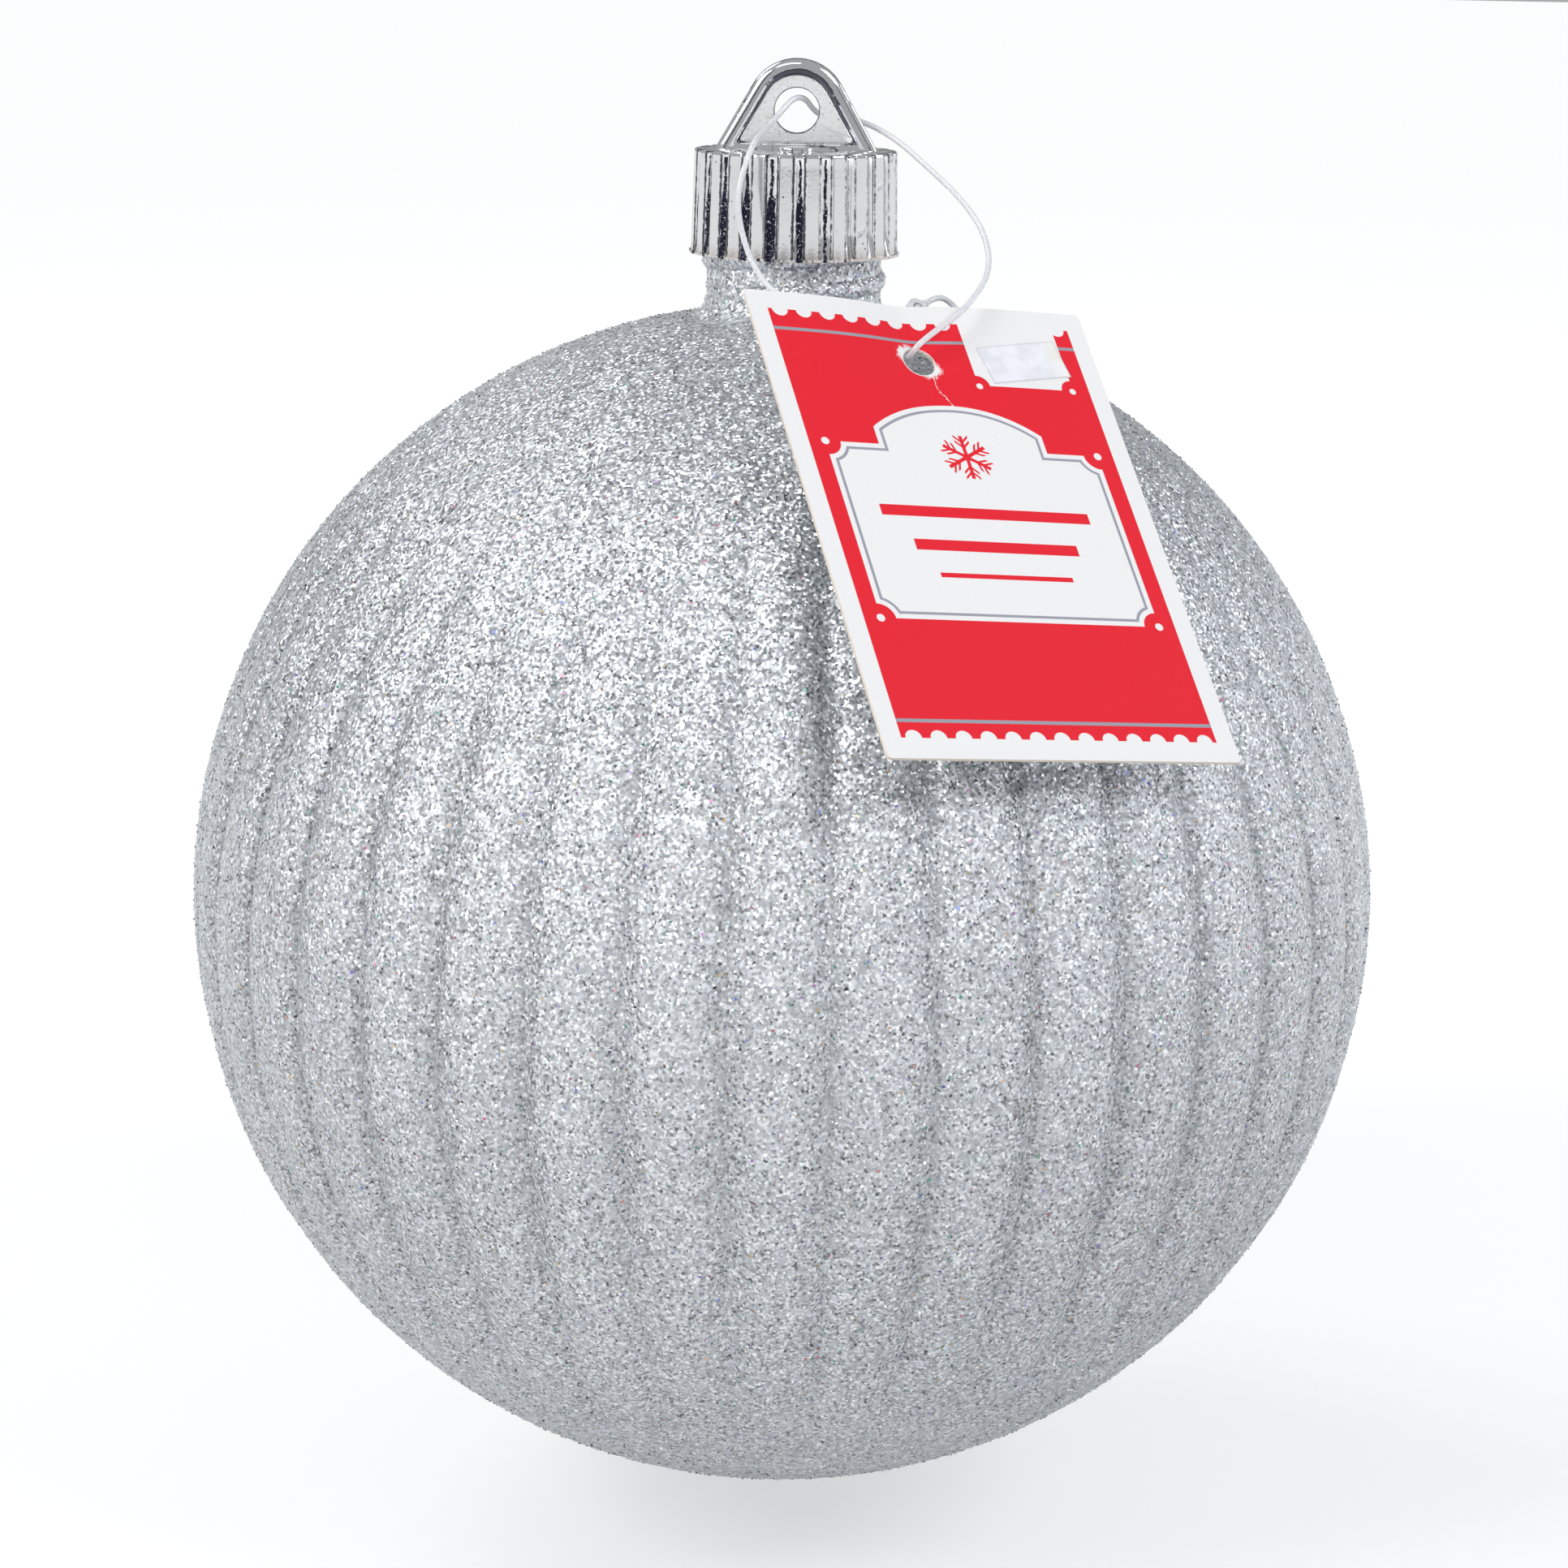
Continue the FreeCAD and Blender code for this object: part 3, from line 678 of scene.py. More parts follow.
def printed_card(width, height, hole, ink, board, rule):
    """The card's front, shapes only: a stamp-edged ground, a corner notch, an arched panel."""
    mat = Material("printed_card", Specular_IOR_Level=0.25, Coat_Weight=0.06, Coat_Roughness=0.3)
    chart = mat.axes(mat.node("ShaderNodeUVMap", {"uv_map": "UVMap"}))
    across = (chart[0] - 0.5) * (width / MM)
    along = (chart[1] - 0.5) * (height / MM)
    soft = 0.05

    def inside(left, right, low, high):
        """Mask of a rectangle, in millimetres from the card's centre."""
        return (across.above(left, soft) * across.below(right, soft)
                * along.above(low, soft) * along.below(high, soft))

    def distance(u, v):
        """From a point of the card."""
        du, dv = across - u, along - v
        return (du * du + dv * dv).root()

    def disc(u, v, radius):
        """Mask of a round dot."""
        return distance(u, v).below(radius, soft)

    # ground, with half-round bites along its top and bottom
    half_width, half_height = 19.9, 29.4
    ground = inside(-half_width, half_width, -half_height, half_height)
    pitch, bite = 3.06, 1.0
    step = (across + pitch / 2).wrapped(pitch) - pitch / 2
    for edge in (half_height, -half_height):
        rise = along - edge
        ground = ground * (1 - (step * step + rise * rise).root().below(bite, soft))
    # corner notch at the upper right
    notch_left, notch_right, notch_low, cut = 5.0, 17.7, 20.1, 1.5
    notch = inside(notch_left, notch_right, notch_low, half_height + 1.0)
    for u in (notch_left, notch_right):
        notch = notch * (1 - disc(u, notch_low, cut))
    # arched panel with scooped corners
    panel_half, panel_low, panel_high, scoop = 17.8, -13.8, 10.4, 1.9
    arch_half, arch_foot, arch_centre, arch_radius = 11.0, 9.0, -0.6, 17.4

    def panel(inset):
        """The panel's outline, drawn in by a distance."""
        half = panel_half - inset
        body = inside(-half, half, panel_low + inset, panel_high - inset)
        for u in (-panel_half, panel_half):
            for v in (panel_low, panel_high):
                body = body * (1 - disc(u, v, scoop + inset))
        arch = (inside(-arch_half + inset, arch_half - inset, arch_foot, 18.0)
                * distance(0.0, arch_centre).below(arch_radius - inset, soft))
        return body.at_least(arch)

    white = panel(0.0).at_least(notch)
    line = panel(0.62) * (1 - panel(0.98))
    dots = disc(notch_left + 0.1, notch_low - 0.1, 0.42)
    dots = dots.at_least(disc(notch_right - 0.1, notch_low - 0.1, 0.42))
    for u in (-panel_half, panel_half):
        for v in (panel_low, panel_high):
            dots = dots.at_least(disc(u, v, 0.5))
    rule_low, rule_high, foot_rule_low, foot_rule_high = 26.3, 26.75, -28.0 + 0.6, -27.55 + 0.6
    rules = inside(-half_width, notch_left, rule_low, rule_high).at_least(
        inside(notch_right, half_width, rule_low, rule_high)).at_least(
        inside(-half_width, half_width, foot_rule_low, foot_rule_high))
    # a plain six-armed star and three bars stand in the panel
    centre_u, centre_v, hub, arm = 0.0, 9.2, 0.55, 3.1
    arm_half, barb_half, barb_reach = 0.24, 0.19, 0.95
    star = disc(centre_u, centre_v, hub)
    for k in range(3):
        turn = math.radians(90 + 60 * k)
        du, dv = across - centre_u, along - centre_v
        reach = abs(du * math.cos(turn) + dv * math.sin(turn))
        off = abs(dv * math.cos(turn) - du * math.sin(turn))
        star = star.at_least(reach.below(arm, soft) * off.below(arm_half, soft))
        for rib in (1.35, 2.1):
            barb = abs(reach - rib - off).below(barb_half, soft) * off.below(barb_reach, soft)
            star = star.at_least(barb)
    bars = inside(-13.5, 13.5, 0.35, 1.85).at_least(inside(-10.5, 10.5, -4.3, -2.8))
    bars = bars.at_least(inside(-8.5, 8.5, -8.0, -7.35))
    printed = ground * (1 - white.at_least(dots))
    printed = printed.at_least(star).at_least(bars)
    # the ink has cracked along the crease and torn away round the hole
    frayed = mat.cloud(mat.place(), 1400, 4.0, 0.7)
    from_hole = distance(hole[0] / MM, hole[1] / MM)
    torn_side = abs((across - hole[0] / MM) + (along - hole[1] / MM)).below(1.9, 0.7)
    torn = (from_hole + frayed * 2.4).below(3.9, 0.25) * torn_side
    torn = torn.at_least(from_hole.below(2.12, 0.05))
    wander = mat.cloud(mat.place(), 520, 3.0, 0.6)
    crack_line = abs(across - hole[0] / MM - (hole[1] / MM - along) * 0.34 + (wander - 0.5) * 2.4)
    crack = crack_line.below(0.06, 0.07) * inside(-8.0, 8.0, 16.6, 23.0) * frayed.above(0.40, 0.08)
    bare = torn.at_least(crack)
    printed = printed * (1 - bare)
    tone = mat.mix(printed, board, ink)
    tone = mat.mix((line.at_least(rules * ground * (1 - white))) * (1 - bare), tone, rule)
    mottled = mat.vector("MULTIPLY", tone, (0.90, 0.90, 0.90))
    mat.feed("Base Color", mat.mix(frayed * 0.5, tone, mottled))
    mat.feed("Roughness", 0.50 + frayed * 0.14 + bare * 0.3)
    card_fibre(mat, mat.place())
    return mat.data


def sticker_film(tone):
    """Blank label with a faint pearly film and a painted shadow along its edges."""
    mat = Material("sticker_film", Specular_IOR_Level=0.6, Coat_Weight=0.5, Coat_Roughness=0.12)
    where = mat.place()
    chart = mat.axes(mat.node("ShaderNodeUVMap", {"uv_map": "UVMap"}))
    wash = mat.cloud(where, 420, 2.0)
    pearl = mat.mix(wash.above(0.5, 0.15), tone, shaded(tone, 0.88))
    gold = (chart[0] + (wash - 0.5) * 0.5).above(0.84, 0.10)
    pearl = mat.mix(gold * 0.4, pearl, (0.84, 0.80, 0.62))
    # painted shadow: the label is darker along its edges
    rim = abs(chart[0] - 0.5).above(0.485, 0.006).at_least(abs(chart[1] - 0.5).above(0.470, 0.012))
    mat.feed("Base Color", mat.mix(rim * 0.4, pearl, shaded(tone, 0.55)))
    mat.feed("Roughness", 0.26 + mat.cloud(where, 1500, 3.0) * 0.15)
    mat.bump(mat.cloud(where, 900, 2.0), 0.03 * MM, 0.5)
    return mat.data


# ------------------------------------------------------------------ the ball
def groove_share(settings, point):
    """How much of the full groove depth a point of the ball takes."""
    radius = point.length
    latitude = abs(math.asin(max(-1, min(1, point.z / radius))))
    span = settings.end_latitude - settings.full_latitude
    fade = (1 + math.cos(math.pi * min(max((latitude - settings.full_latitude) / span, 0), 1))) / 2
    lobe = math.tau / settings.lobes
    across = math.atan2(point.y, point.x) % lobe / lobe
    return fade * abs(2 * min(across, 1 - across)) ** 3


def ball_profile(settings, radius):
    """Where the ball's opening goes on: flare, neck, rim, bore, and back round the inside."""
    flare, neck = settings.neck_flare, settings.neck_radius
    bore = neck - settings.neck_wall
    rim = 0.3 * MM
    points = []
    for k in range(7):
        turn = math.pi / 2 * k / 6
        points.append((neck + flare * (1 - math.sin(turn)),
                       SHOULDER + flare * (1 - math.cos(turn))))
    points += [(neck, NECK_TOP - rim), (neck - rim, NECK_TOP), (bore + rim, NECK_TOP),
               (bore, NECK_TOP - rim), (bore, SHOULDER - 1.5 * MM)]
    inner = radius - 2.6 * MM
    start = math.asin(bore / inner)
    rows = 28
    for k in range(1, rows):
        turn = start + (math.pi - start) * k / rows
        points.append((inner * math.sin(turn), BALL_CENTRE + inner * math.cos(turn)))
    return points


class ORNAMENT_OT_ball(bpy.types.Operator):
    """Fluted hollow ball with its threaded neck, in the glitter coat"""
    bl_idname = "ornament.ball"
    bl_label = "Ball"

    def execute(self, context):
        settings = context.scene.ornament_ball
        radius = BALL_RADIUS - settings.coat_room
        sides = settings.lobes * 10
        ball = primitive("glitter_ball", "uv_sphere", segments=sides, ring_count=132, radius=radius)
        sink(ball, settings.groove, lambda point: groove_share(settings, point))
        # painted shade for the grooves, fading out below the equator towards the foot
        mark(ball, "painted_groove_shade", lambda point: groove_share(settings, point)
             * (1 - smoothstep(-point.z / (0.8 * radius))))
        ball.data.transform(Matrix.Translation((0, 0, BALL_CENTRE)))
        bpy.ops.object.mode_set(mode="EDIT")
        bpy.ops.mesh.select_all(action="SELECT")
        bpy.ops.mesh.bisect(plane_co=(0, 0, SHOULDER), plane_no=(0, 0, 1), clear_outer=True)
        select_rims()
        height = SHOULDER
        here = math.sqrt(radius ** 2 - (SHOULDER - BALL_CENTRE) ** 2)
        for next_radius, next_height in ball_profile(settings, radius):
            bpy.ops.mesh.extrude_edges_move(
                TRANSFORM_OT_translate={"value": (0, 0, next_height - height)})
            share = next_radius / here
            bpy.ops.transform.resize(value=(share, share, 1), center_override=(0, 0, next_height))
            here, height = next_radius, next_height
        bpy.ops.mesh.merge(type="CENTER")
        bpy.ops.object.mode_set(mode="OBJECT")
        cleaned(ball)
        neck = settings.neck_radius
        ridge = thread_ridge("neck_thread", neck, neck + settings.ridge, (2.5 * MM, 1.3 * MM),
                             -150, 3.1, SHOULDER + THREAD_RISE, 0.35 * MM)
        join(ball, ridge)
        smooth(ball, 75)
        ball.data.materials.append(glitter_coat(tuple(settings.silver), settings.flake))
        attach(ball, "ball")
        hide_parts("ball_shell", "ball_neck")
        return {"FINISHED"}


def flake_scatter(settings):
    """Geometry nodes that scatter small six-sided flakes over the coat, each at its own tilt."""
    tree = bpy.data.node_groups.new("flake_scatter", "GeometryNodeTree")
    tree.interface.new_socket("Geometry", in_out="INPUT", socket_type="NodeSocketGeometry")
    tree.interface.new_socket("Geometry", in_out="OUTPUT", socket_type="NodeSocketGeometry")

    def node(kind, values=None, **options):
        made = tree.nodes.new(kind)
        for name, value in options.items():
            setattr(made, name, value)
        for socket, value in (values or {}).items():
            if isinstance(value, bpy.types.NodeSocket):
                tree.links.new(value, made.inputs[socket])
            else:
                made.inputs[socket].default_value = value
        return made

    def chance(kind, low, high, seed):
        made = node("FunctionNodeRandomValue", data_type=kind)
        sockets = [s for s in made.inputs if s.enabled]
        sockets[0].default_value = low
        sockets[1].default_value = high
        made.inputs["Seed"].default_value = seed
        return next(s for s in made.outputs if s.enabled)

    source = node("NodeGroupInput")
    dense = node("GeometryNodeInputNamedAttribute", {"Name": "coat"}, data_type="FLOAT")
    area = 4 * math.pi * BALL_RADIUS ** 2
    full = node("ShaderNodeMath", {0: dense.outputs[0], 1: settings.flakes / area},
                operation="MULTIPLY")
    points = node("GeometryNodeDistributePointsOnFaces",
                  {"Mesh": source.outputs[0], "Density": full.outputs[0], "Seed": 7})
    lift = node("ShaderNodeVectorMath", {0: points.outputs["Normal"],
                                         "Scale": chance("FLOAT", 0.02 * MM, 0.10 * MM, 11)},
                operation="SCALE")
    raised = node("GeometryNodeSetPosition", {"Geometry": points.outputs["Points"],
                                              "Offset": lift.outputs[0]})
    named = node("GeometryNodeStoreNamedAttribute",
                 {"Geometry": raised.outputs[0], "Name": "flake",
                  "Value": chance("FLOAT_VECTOR", (0, 0, 0), (1, 1, 1), 13)},
                 data_type="FLOAT_VECTOR", domain="POINT")
    disc = node("GeometryNodeMeshCircle", {"Vertices": 6, "Radius": settings.flake / 2},
                fill_type="NGON")
    tilt = math.radians(38)
    tipped = node("FunctionNodeRotateRotation",
                  {0: points.outputs["Rotation"],
                   1: chance("FLOAT_VECTOR", (-tilt, -tilt, -math.pi), (tilt, tilt, math.pi), 17)},
                  rotation_space="LOCAL")
    laid = node("GeometryNodeInstanceOnPoints",
                {"Points": named.outputs[0], "Instance": disc.outputs[0],
                 "Rotation": tipped.outputs[0], "Scale": chance("FLOAT", 0.65, 1.15, 19)})
    real = node("GeometryNodeRealizeInstances", {0: laid.outputs[0]})
    sink_node = node("NodeGroupOutput")
    tree.links.new(real.outputs[0], sink_node.inputs[0])
    return tree


class ORNAMENT_OT_flakes(bpy.types.Operator):
    """Loose flakes that stand out of the glitter coat"""
    bl_idname = "ornament.flakes"
    bl_label = "Loose flakes"

    def execute(self, context):
        settings = context.scene.ornament_ball
        ball = bpy.data.objects["glitter_ball"]
        flakes = ball.copy()
        flakes.data = ball.data.copy()
        flakes.parent = None
        flakes.matrix_world = Matrix.Identity(4)
        flakes.name = flakes.data.name = "glitter_flakes"
        for key in list(flakes.keys()):
            if key.startswith("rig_"):
                del flakes[key]
        context.scene.collection.objects.link(flakes)
        coat = flakes.data.attributes.new("coat", "FLOAT", "POINT")
        centre = Vector((0, 0, BALL_CENTRE))
        inner = BALL_RADIUS - 2.4 * MM
        bore = settings.neck_radius - settings.neck_wall
        for vertex in flakes.data.vertices:
            on_ball = (vertex.co - centre).length > inner and vertex.co.z < SHOULDER + 0.01 * MM
            on_neck = (vertex.co.z >= SHOULDER and vertex.co.z < CAP_FOOT - 0.3 * MM
                       and math.hypot(vertex.co.x, vertex.co.y) > bore + 0.9 * MM)
            coat.data[vertex.index].value = 1.0 if on_ball or on_neck else 0.0
        scatter = flakes.modifiers.new("scatter", "NODES")
        scatter.node_group = flake_scatter(settings)
        apply_all(flakes)
        flakes.data.materials.clear()
        flakes.data.materials.append(glitter_flakes(tuple(settings.silver)))
        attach(flakes, "ball")
        return {"FINISHED"}


# ------------------------------------------------------------------ the cap
def rib_sink(settings, point):
    """How far in a point of the cap's side lies, as a share of the groove depth."""
    around = math.atan2(point.y, point.x)
    pitch = math.tau / settings.ribs
    off = ((around - GROOVE_START + pitch / 2) % pitch) - pitch / 2
    radius = settings.top_radius
    centre = radius + GROOVE_CUTTER - settings.groove
    reach = abs(math.sin(off)) * radius
    depth = flat = 0.0
    if reach < GROOVE_CUTTER:
        depth = max(radius - (centre - math.sqrt(GROOVE_CUTTER ** 2 - reach ** 2)), 0)
    rib = pitch / 2 - abs(off)
    half_rib = pitch / 2 - 0.712 * MM / radius   # a rib is flat between its two grooves' edges
    if rib < half_rib:
        flat = radius * (1 - math.cos(half_rib) / math.cos(min(rib, half_rib)))
    return min(max(depth, flat) / settings.groove, 1.0)


def rib_edge(settings, point, low, high):
    """Painted dark reflection lines on the cap: along the edges of its ribs."""
    flat = math.hypot(point.x, point.y)
    if flat < settings.top_radius - 0.6 * MM or not low < point.z < high:
        return 0.0
    pitch = math.tau / settings.ribs
    off = ((math.atan2(point.y, point.x) - GROOVE_START + pitch / 2) % pitch) - pitch / 2
    from_edge = abs(abs(off) * settings.top_radius - GROOVE_HALF_WIDTH)
    return max(0.0, 1 - from_edge / (0.30 * MM))


class ORNAMENT_OT_cap(bpy.types.Operator):
    """Ribbed screw cap with its thin lip, inside thread and gate button"""
    bl_idname = "ornament.cap"
    bl_label = "Screw cap"

    def execute(self, context):
        settings = context.scene.ornament_cap
        edge = 0.3 * MM
        top = -settings.hole_drop
        ceiling = LINER_BOX[1].z + 0.1 * MM
        lip_top = CAP_FOOT + 0.35 * MM
        bore = settings.bore_radius
        side_rows = 8
        profile = [(0.5 * MM, ceiling), (bore - edge, ceiling), (bore, ceiling - edge),
                   (bore, CAP_FOOT + edge), (bore + edge, CAP_FOOT),
                   (settings.lip_radius, CAP_FOOT), (settings.lip_radius, lip_top),
                   (settings.foot_radius, lip_top)]
        taper = settings.top_radius - settings.foot_radius
        for k in range(1, side_rows + 1):
            share = k / side_rows
            profile.append((settings.foot_radius + taper * share,
                            lip_top + (top - edge - lip_top) * share))
        # one more row just under the rounded corner keeps its shading off the ribs
        flank = profile.pop()
        profile += [(flank[0], flank[1] - 0.08 * MM), flank]
        profile += [(settings.top_radius - 0.09 * MM, top - 0.09 * MM),
                    (settings.top_radius - edge, top), (6.0 * MM, top), (0.5 * MM, top)]
        cap = turned("mirror_cap", profile, settings.ribs * 15)
        cleaned(cap)

        def share_at(point):
            flat = math.hypot(point.x, point.y)
            if flat < settings.top_radius - 0.4 * MM or point.z < lip_top + 0.01 * MM:
                return 0.0
            return rib_sink(settings, point)

        sink(cap, settings.groove, share_at)
        # painted dark reflection lines along the rib edges
        mark(cap, "painted_dark_line", lambda point: rib_edge(settings, point, lip_top, top))
        for vertex in cap.data.vertices:
            flat = math.hypot(vertex.co.x, vertex.co.y)
            if flat > settings.lip_radius - 0.02 * MM:
                torn = noise.noise(Vector((vertex.co.x, vertex.co.y, 0)) / (0.9 * MM))
                share = (settings.lip_radius - (0.18 + 0.22 * torn) * MM) / flat
                vertex.co.x *= share
                vertex.co.y *= share
        gate = primitive("gate", "cylinder", vertices=48, radius=2.05 * MM, depth=0.9 * MM,
                         location=(0, -6.2 * MM, top + 0.15 * MM))
        round_over = gate.modifiers.new("round", "BEVEL")
        round_over.width = 0.2 * MM
        round_over.segments = 3
        apply_all(gate)
        thread = thread_ridge("cap_thread", bore, bore - 0.6 * MM, (2.3 * MM, 1.2 * MM), 240, 1.45,
                              SHOULDER + THREAD_RISE + THREAD_PITCH / 2, 0.15 * MM)
        join(cap, gate, thread)
        smooth(cap, 24)
        cap.data.materials.append(metallised(settings))
        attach(cap, "cap")
        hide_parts("screw_cap")
        return {"FINISHED"}


def lug_reach(radius, low, turn):
    """From the hole's centre to the lug's outline: an arc over the hole and leaning sides."""
    lean = math.radians(30)
    across, up = abs(math.cos(turn)), math.sin(turn)
    angle = math.atan2(up, across)
    reach = radius if angle >= lean else radius / max(math.cos(lean - angle), 1e-3)
    if up < 0:
        reach = min(reach, low / up)
    return reach


class ORNAMENT_OT_lug(bpy.types.Operator):
    """Hanger lug with its thick rounded rim, thin web and hole"""
    bl_idname = "ornament.lug"
    bl_label = "Hanger lug"

    def execute(self, context):
        settings = context.scene.ornament_cap
        top = -settings.hole_drop
        base = top - 0.4 * MM
        plinth = top + 0.9 * MM
        web, half = 0.65 * MM, 1.3 * MM
        rim, roll, roll_deep = 2.0 * MM, 1.35 * MM, 0.85 * MM
        inner_roll = 0.45 * MM
        hole = settings.hole_radius
        rings = [("hole", hole, 0, web - 0.12 * MM), ("hole", hole + 0.12 * MM, 0, web),
                 ("lug", LUG_RADIUS - rim - 0.1 * MM, plinth + 0.1 * MM, web),
                 ("lug", LUG_RADIUS - rim, plinth, web + 0.1 * MM)]
        for k in range(5):
            turn = math.pi / 2 * k / 4
            rings.append(("lug", LUG_RADIUS - rim + inner_roll * (1 - math.cos(turn)),
                          plinth - inner_roll * (1 - math.cos(turn)),
                          half - inner_roll * (1 - math.sin(turn))))
        for k in range(7):
            turn = math.pi / 2 * k / 6
            rings.append(("lug", LUG_RADIUS - roll * (1 - math.sin(turn)), base,
                          half - roll_deep * (1 - math.cos(turn))))
        rings += [(kind, radius, low, -depth) for kind, radius, low, depth in reversed(rings)]
        lug = primitive("mirror_lug", "circle", vertices=160, radius=hole,
                        rotation=(math.pi / 2, 0, 0))
        bpy.ops.object.mode_set(mode="EDIT")
        bpy.ops.mesh.select_all(action="SELECT")
        for index, (kind, radius, low, depth) in enumerate(rings):
            if index:
                bpy.ops.mesh.extrude_edges_move(TRANSFORM_OT_translate={"value": (0, 0, 0)})
            mesh = bmesh.from_edit_mesh(lug.data)
            for vertex in mesh.verts:
                if vertex.select:
                    turn = math.atan2(vertex.co.z, vertex.co.x)
                    reach = radius if kind == "hole" else lug_reach(radius, low, turn)
                    vertex.co = (reach * math.cos(turn), -depth, reach * math.sin(turn))
            bmesh.update_edit_mesh(lug.data)
        select_rims()
        bpy.ops.mesh.bridge_edge_loops()
        bpy.ops.mesh.select_mode(type="VERT")
        bpy.ops.object.mode_set(mode="OBJECT")
        cleaned(lug)

        def rim_share(point):
            """How far out towards the lug's outline a point lies, from the pocket's edge."""
            turn = math.atan2(point.z, point.x)
            reach = math.hypot(point.x, point.z)
            inner = lug_reach(LUG_RADIUS - rim, plinth, turn)
            return (reach - inner) / MM

        def contour(point):
            """Painted dark reflection lines: along the rim, the hole's edge, and round the pocket.
            """
            share = rim_share(point)
            if 1.90 < share < 1.98:
                return 0.85
            from_hole = math.hypot(point.x, point.z) - hole
            if from_hole < 0.14 * MM and abs(point.y) > web - 0.14 * MM:
                return 1.0 if from_hole < 0.02 * MM else 0.45
            if abs(point.y) < web + 0.02 * MM or not -0.04 < share < 0.70:
                return 0.0
            turn = math.atan2(point.z, point.x)
            if point.z < plinth + 0.3 * MM and share < 0.47 and abs(point.x) < 6.3 * MM:
                return 0.42
            if share < 0.40:
                return 1.0
            return 0.35 + 0.65 * max(0, math.sin(turn)) ** 3 + 0.3 * max(0, math.cos(turn))

        # painted dark reflection lines round the lug
        mark(lug, "painted_dark_line", contour)
        mark(lug, "grain", lambda point: 1.0 if abs(point.y) < web + 0.05 * MM
             and rim_share(point) < 0.0 else 0.0)
        smooth(lug, 42)
        lug.data.materials.append(bpy.data.materials["metallised_plastic"])
        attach(lug, "cap")
        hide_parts("screw_cap")
        return {"FINISHED"}


# ------------------------------------------------------------------ the tag
TAG_HOLE = (-1.7 * MM, 23.4 * MM)


def tag_frame(settings):
    """The card's right, up and outward directions and its centre, from its hinge and solid."""
    hinge = next(j for j in frame["joints"] if j["name"] == "tag_swing")
    outward = Vector(hinge["axis"]).normalized()
    level = Vector((-outward.y, outward.x, 0)).normalized()
    steep = outward.cross(level)
    right = level * math.cos(settings.roll) - steep * math.sin(settings.roll)
    up = steep * math.cos(settings.roll) + level * math.sin(settings.roll)
    card = [v.co for v in frame["nodes"]["tag_card"].data.vertices]
    centre = Vector()
    for axis in (right, up, outward):
        along = [axis.dot(p) for p in card]
        centre += axis * (min(along) + max(along)) / 2
    return right, up, outward, centre


def card_bend(u, v):
    """How far the card is bent back from its plane: it was creased down to the hole."""
    near_top = smoothstep((v / MM - 8) / 24)
    from_crease = abs(u - TAG_HOLE[0]) / MM
    return -0.95 * MM * near_top * math.exp(-(from_crease / 6.5) ** 1.5)


def on_card(settings, piece, lift):
    """Bend a flat piece with the card, then carry it from the card's own axes to its place."""
    right, up, outward, centre = tag_frame(settings)
    for vertex in piece.data.vertices:
        vertex.co.z += card_bend(vertex.co.x, vertex.co.y) + lift
    place = Matrix((right, up, outward)).transposed().to_4x4()
    place.translation = centre
    piece.data.transform(place)


class ORNAMENT_OT_tag(bpy.types.Operator):
    """Printed card tag, creased at its punched hole"""
    bl_idname = "ornament.tag"
    bl_label = "Card tag"

    def execute(self, context):
        settings = context.scene.ornament_tag
        card = primitive("card_tag", "grid", (settings.width, settings.height, 1),
                         x_subdivisions=90, y_subdivisions=128, size=1)
        for vertex in card.data.vertices:
            over = (Vector((abs(vertex.co.x), abs(vertex.co.y)))
                    - Vector((settings.width, settings.height)) / 2).xy
            over += Vector((settings.corner, settings.corner))
            if min(over) > 0 and over.length > settings.corner:
                pull = over * (1 - settings.corner / over.length)
                vertex.co.x -= math.copysign(pull.x, vertex.co.x)
                vertex.co.y -= math.copysign(pull.y, vertex.co.y)
        thick = card.modifiers.new("thickness", "SOLIDIFY")
        thick.thickness = settings.thickness
        thick.offset = 0
        thick.material_offset = 2
        thick.material_offset_rim = 1
        card.data.materials.append(printed_card(settings.width, settings.height, TAG_HOLE,
                                                tuple(settings.ink), tuple(settings.board),
                                                tuple(settings.rule)))
        card.data.materials.append(bare_card("card_edge", (0.70, 0.62, 0.52)))
        card.data.materials.append(bare_card("card_back", tuple(settings.board)))
        apply_all(card)
        punch = primitive("punch", "cylinder", vertices=48, radius=settings.hole_radius,
                          depth=10 * settings.thickness, location=(*TAG_HOLE, 0))
        punch.data.materials.append(bpy.data.materials["card_edge"])
        cut = card.modifiers.new("hole", "BOOLEAN")
        cut.operation = "DIFFERENCE"
        cut.solver = "EXACT"
        cut.object = punch
        cut.material_mode = "TRANSFER"
        apply_all(card)
        bpy.data.objects.remove(punch)
        on_card(settings, card, 0)
        smooth(card, 30)
        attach(card, "tag")
        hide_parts("tag_card")
        return {"FINISHED"}


class ORNAMENT_OT_sticker(bpy.types.Operator):
    """Blank sticker in the card's corner notch"""
    bl_idname = "ornament.sticker"
    bl_label = "Sticker"

    def execute(self, context):
        settings = context.scene.ornament_tag
        sticker = primitive("price_label", "grid", STICKER_SIZE, x_subdivisions=28,
                            y_subdivisions=14, size=1, location=STICKER_PLACE,
                            rotation=(0, 0, STICKER_TURN))
        thick = sticker.modifiers.new("thickness", "SOLIDIFY")
        thick.thickness = STICKER_THICKNESS
        thick.offset = 0
        apply_all(sticker)
        on_card(settings, sticker, settings.thickness / 2 + STICKER_THICKNESS / 2)
        smooth(sticker, 30)
        sticker.data.materials.append(sticker_film((0.81, 0.82, 0.87)))
        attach(sticker, "tag")
        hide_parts("price_sticker")
        return {"FINISHED"}


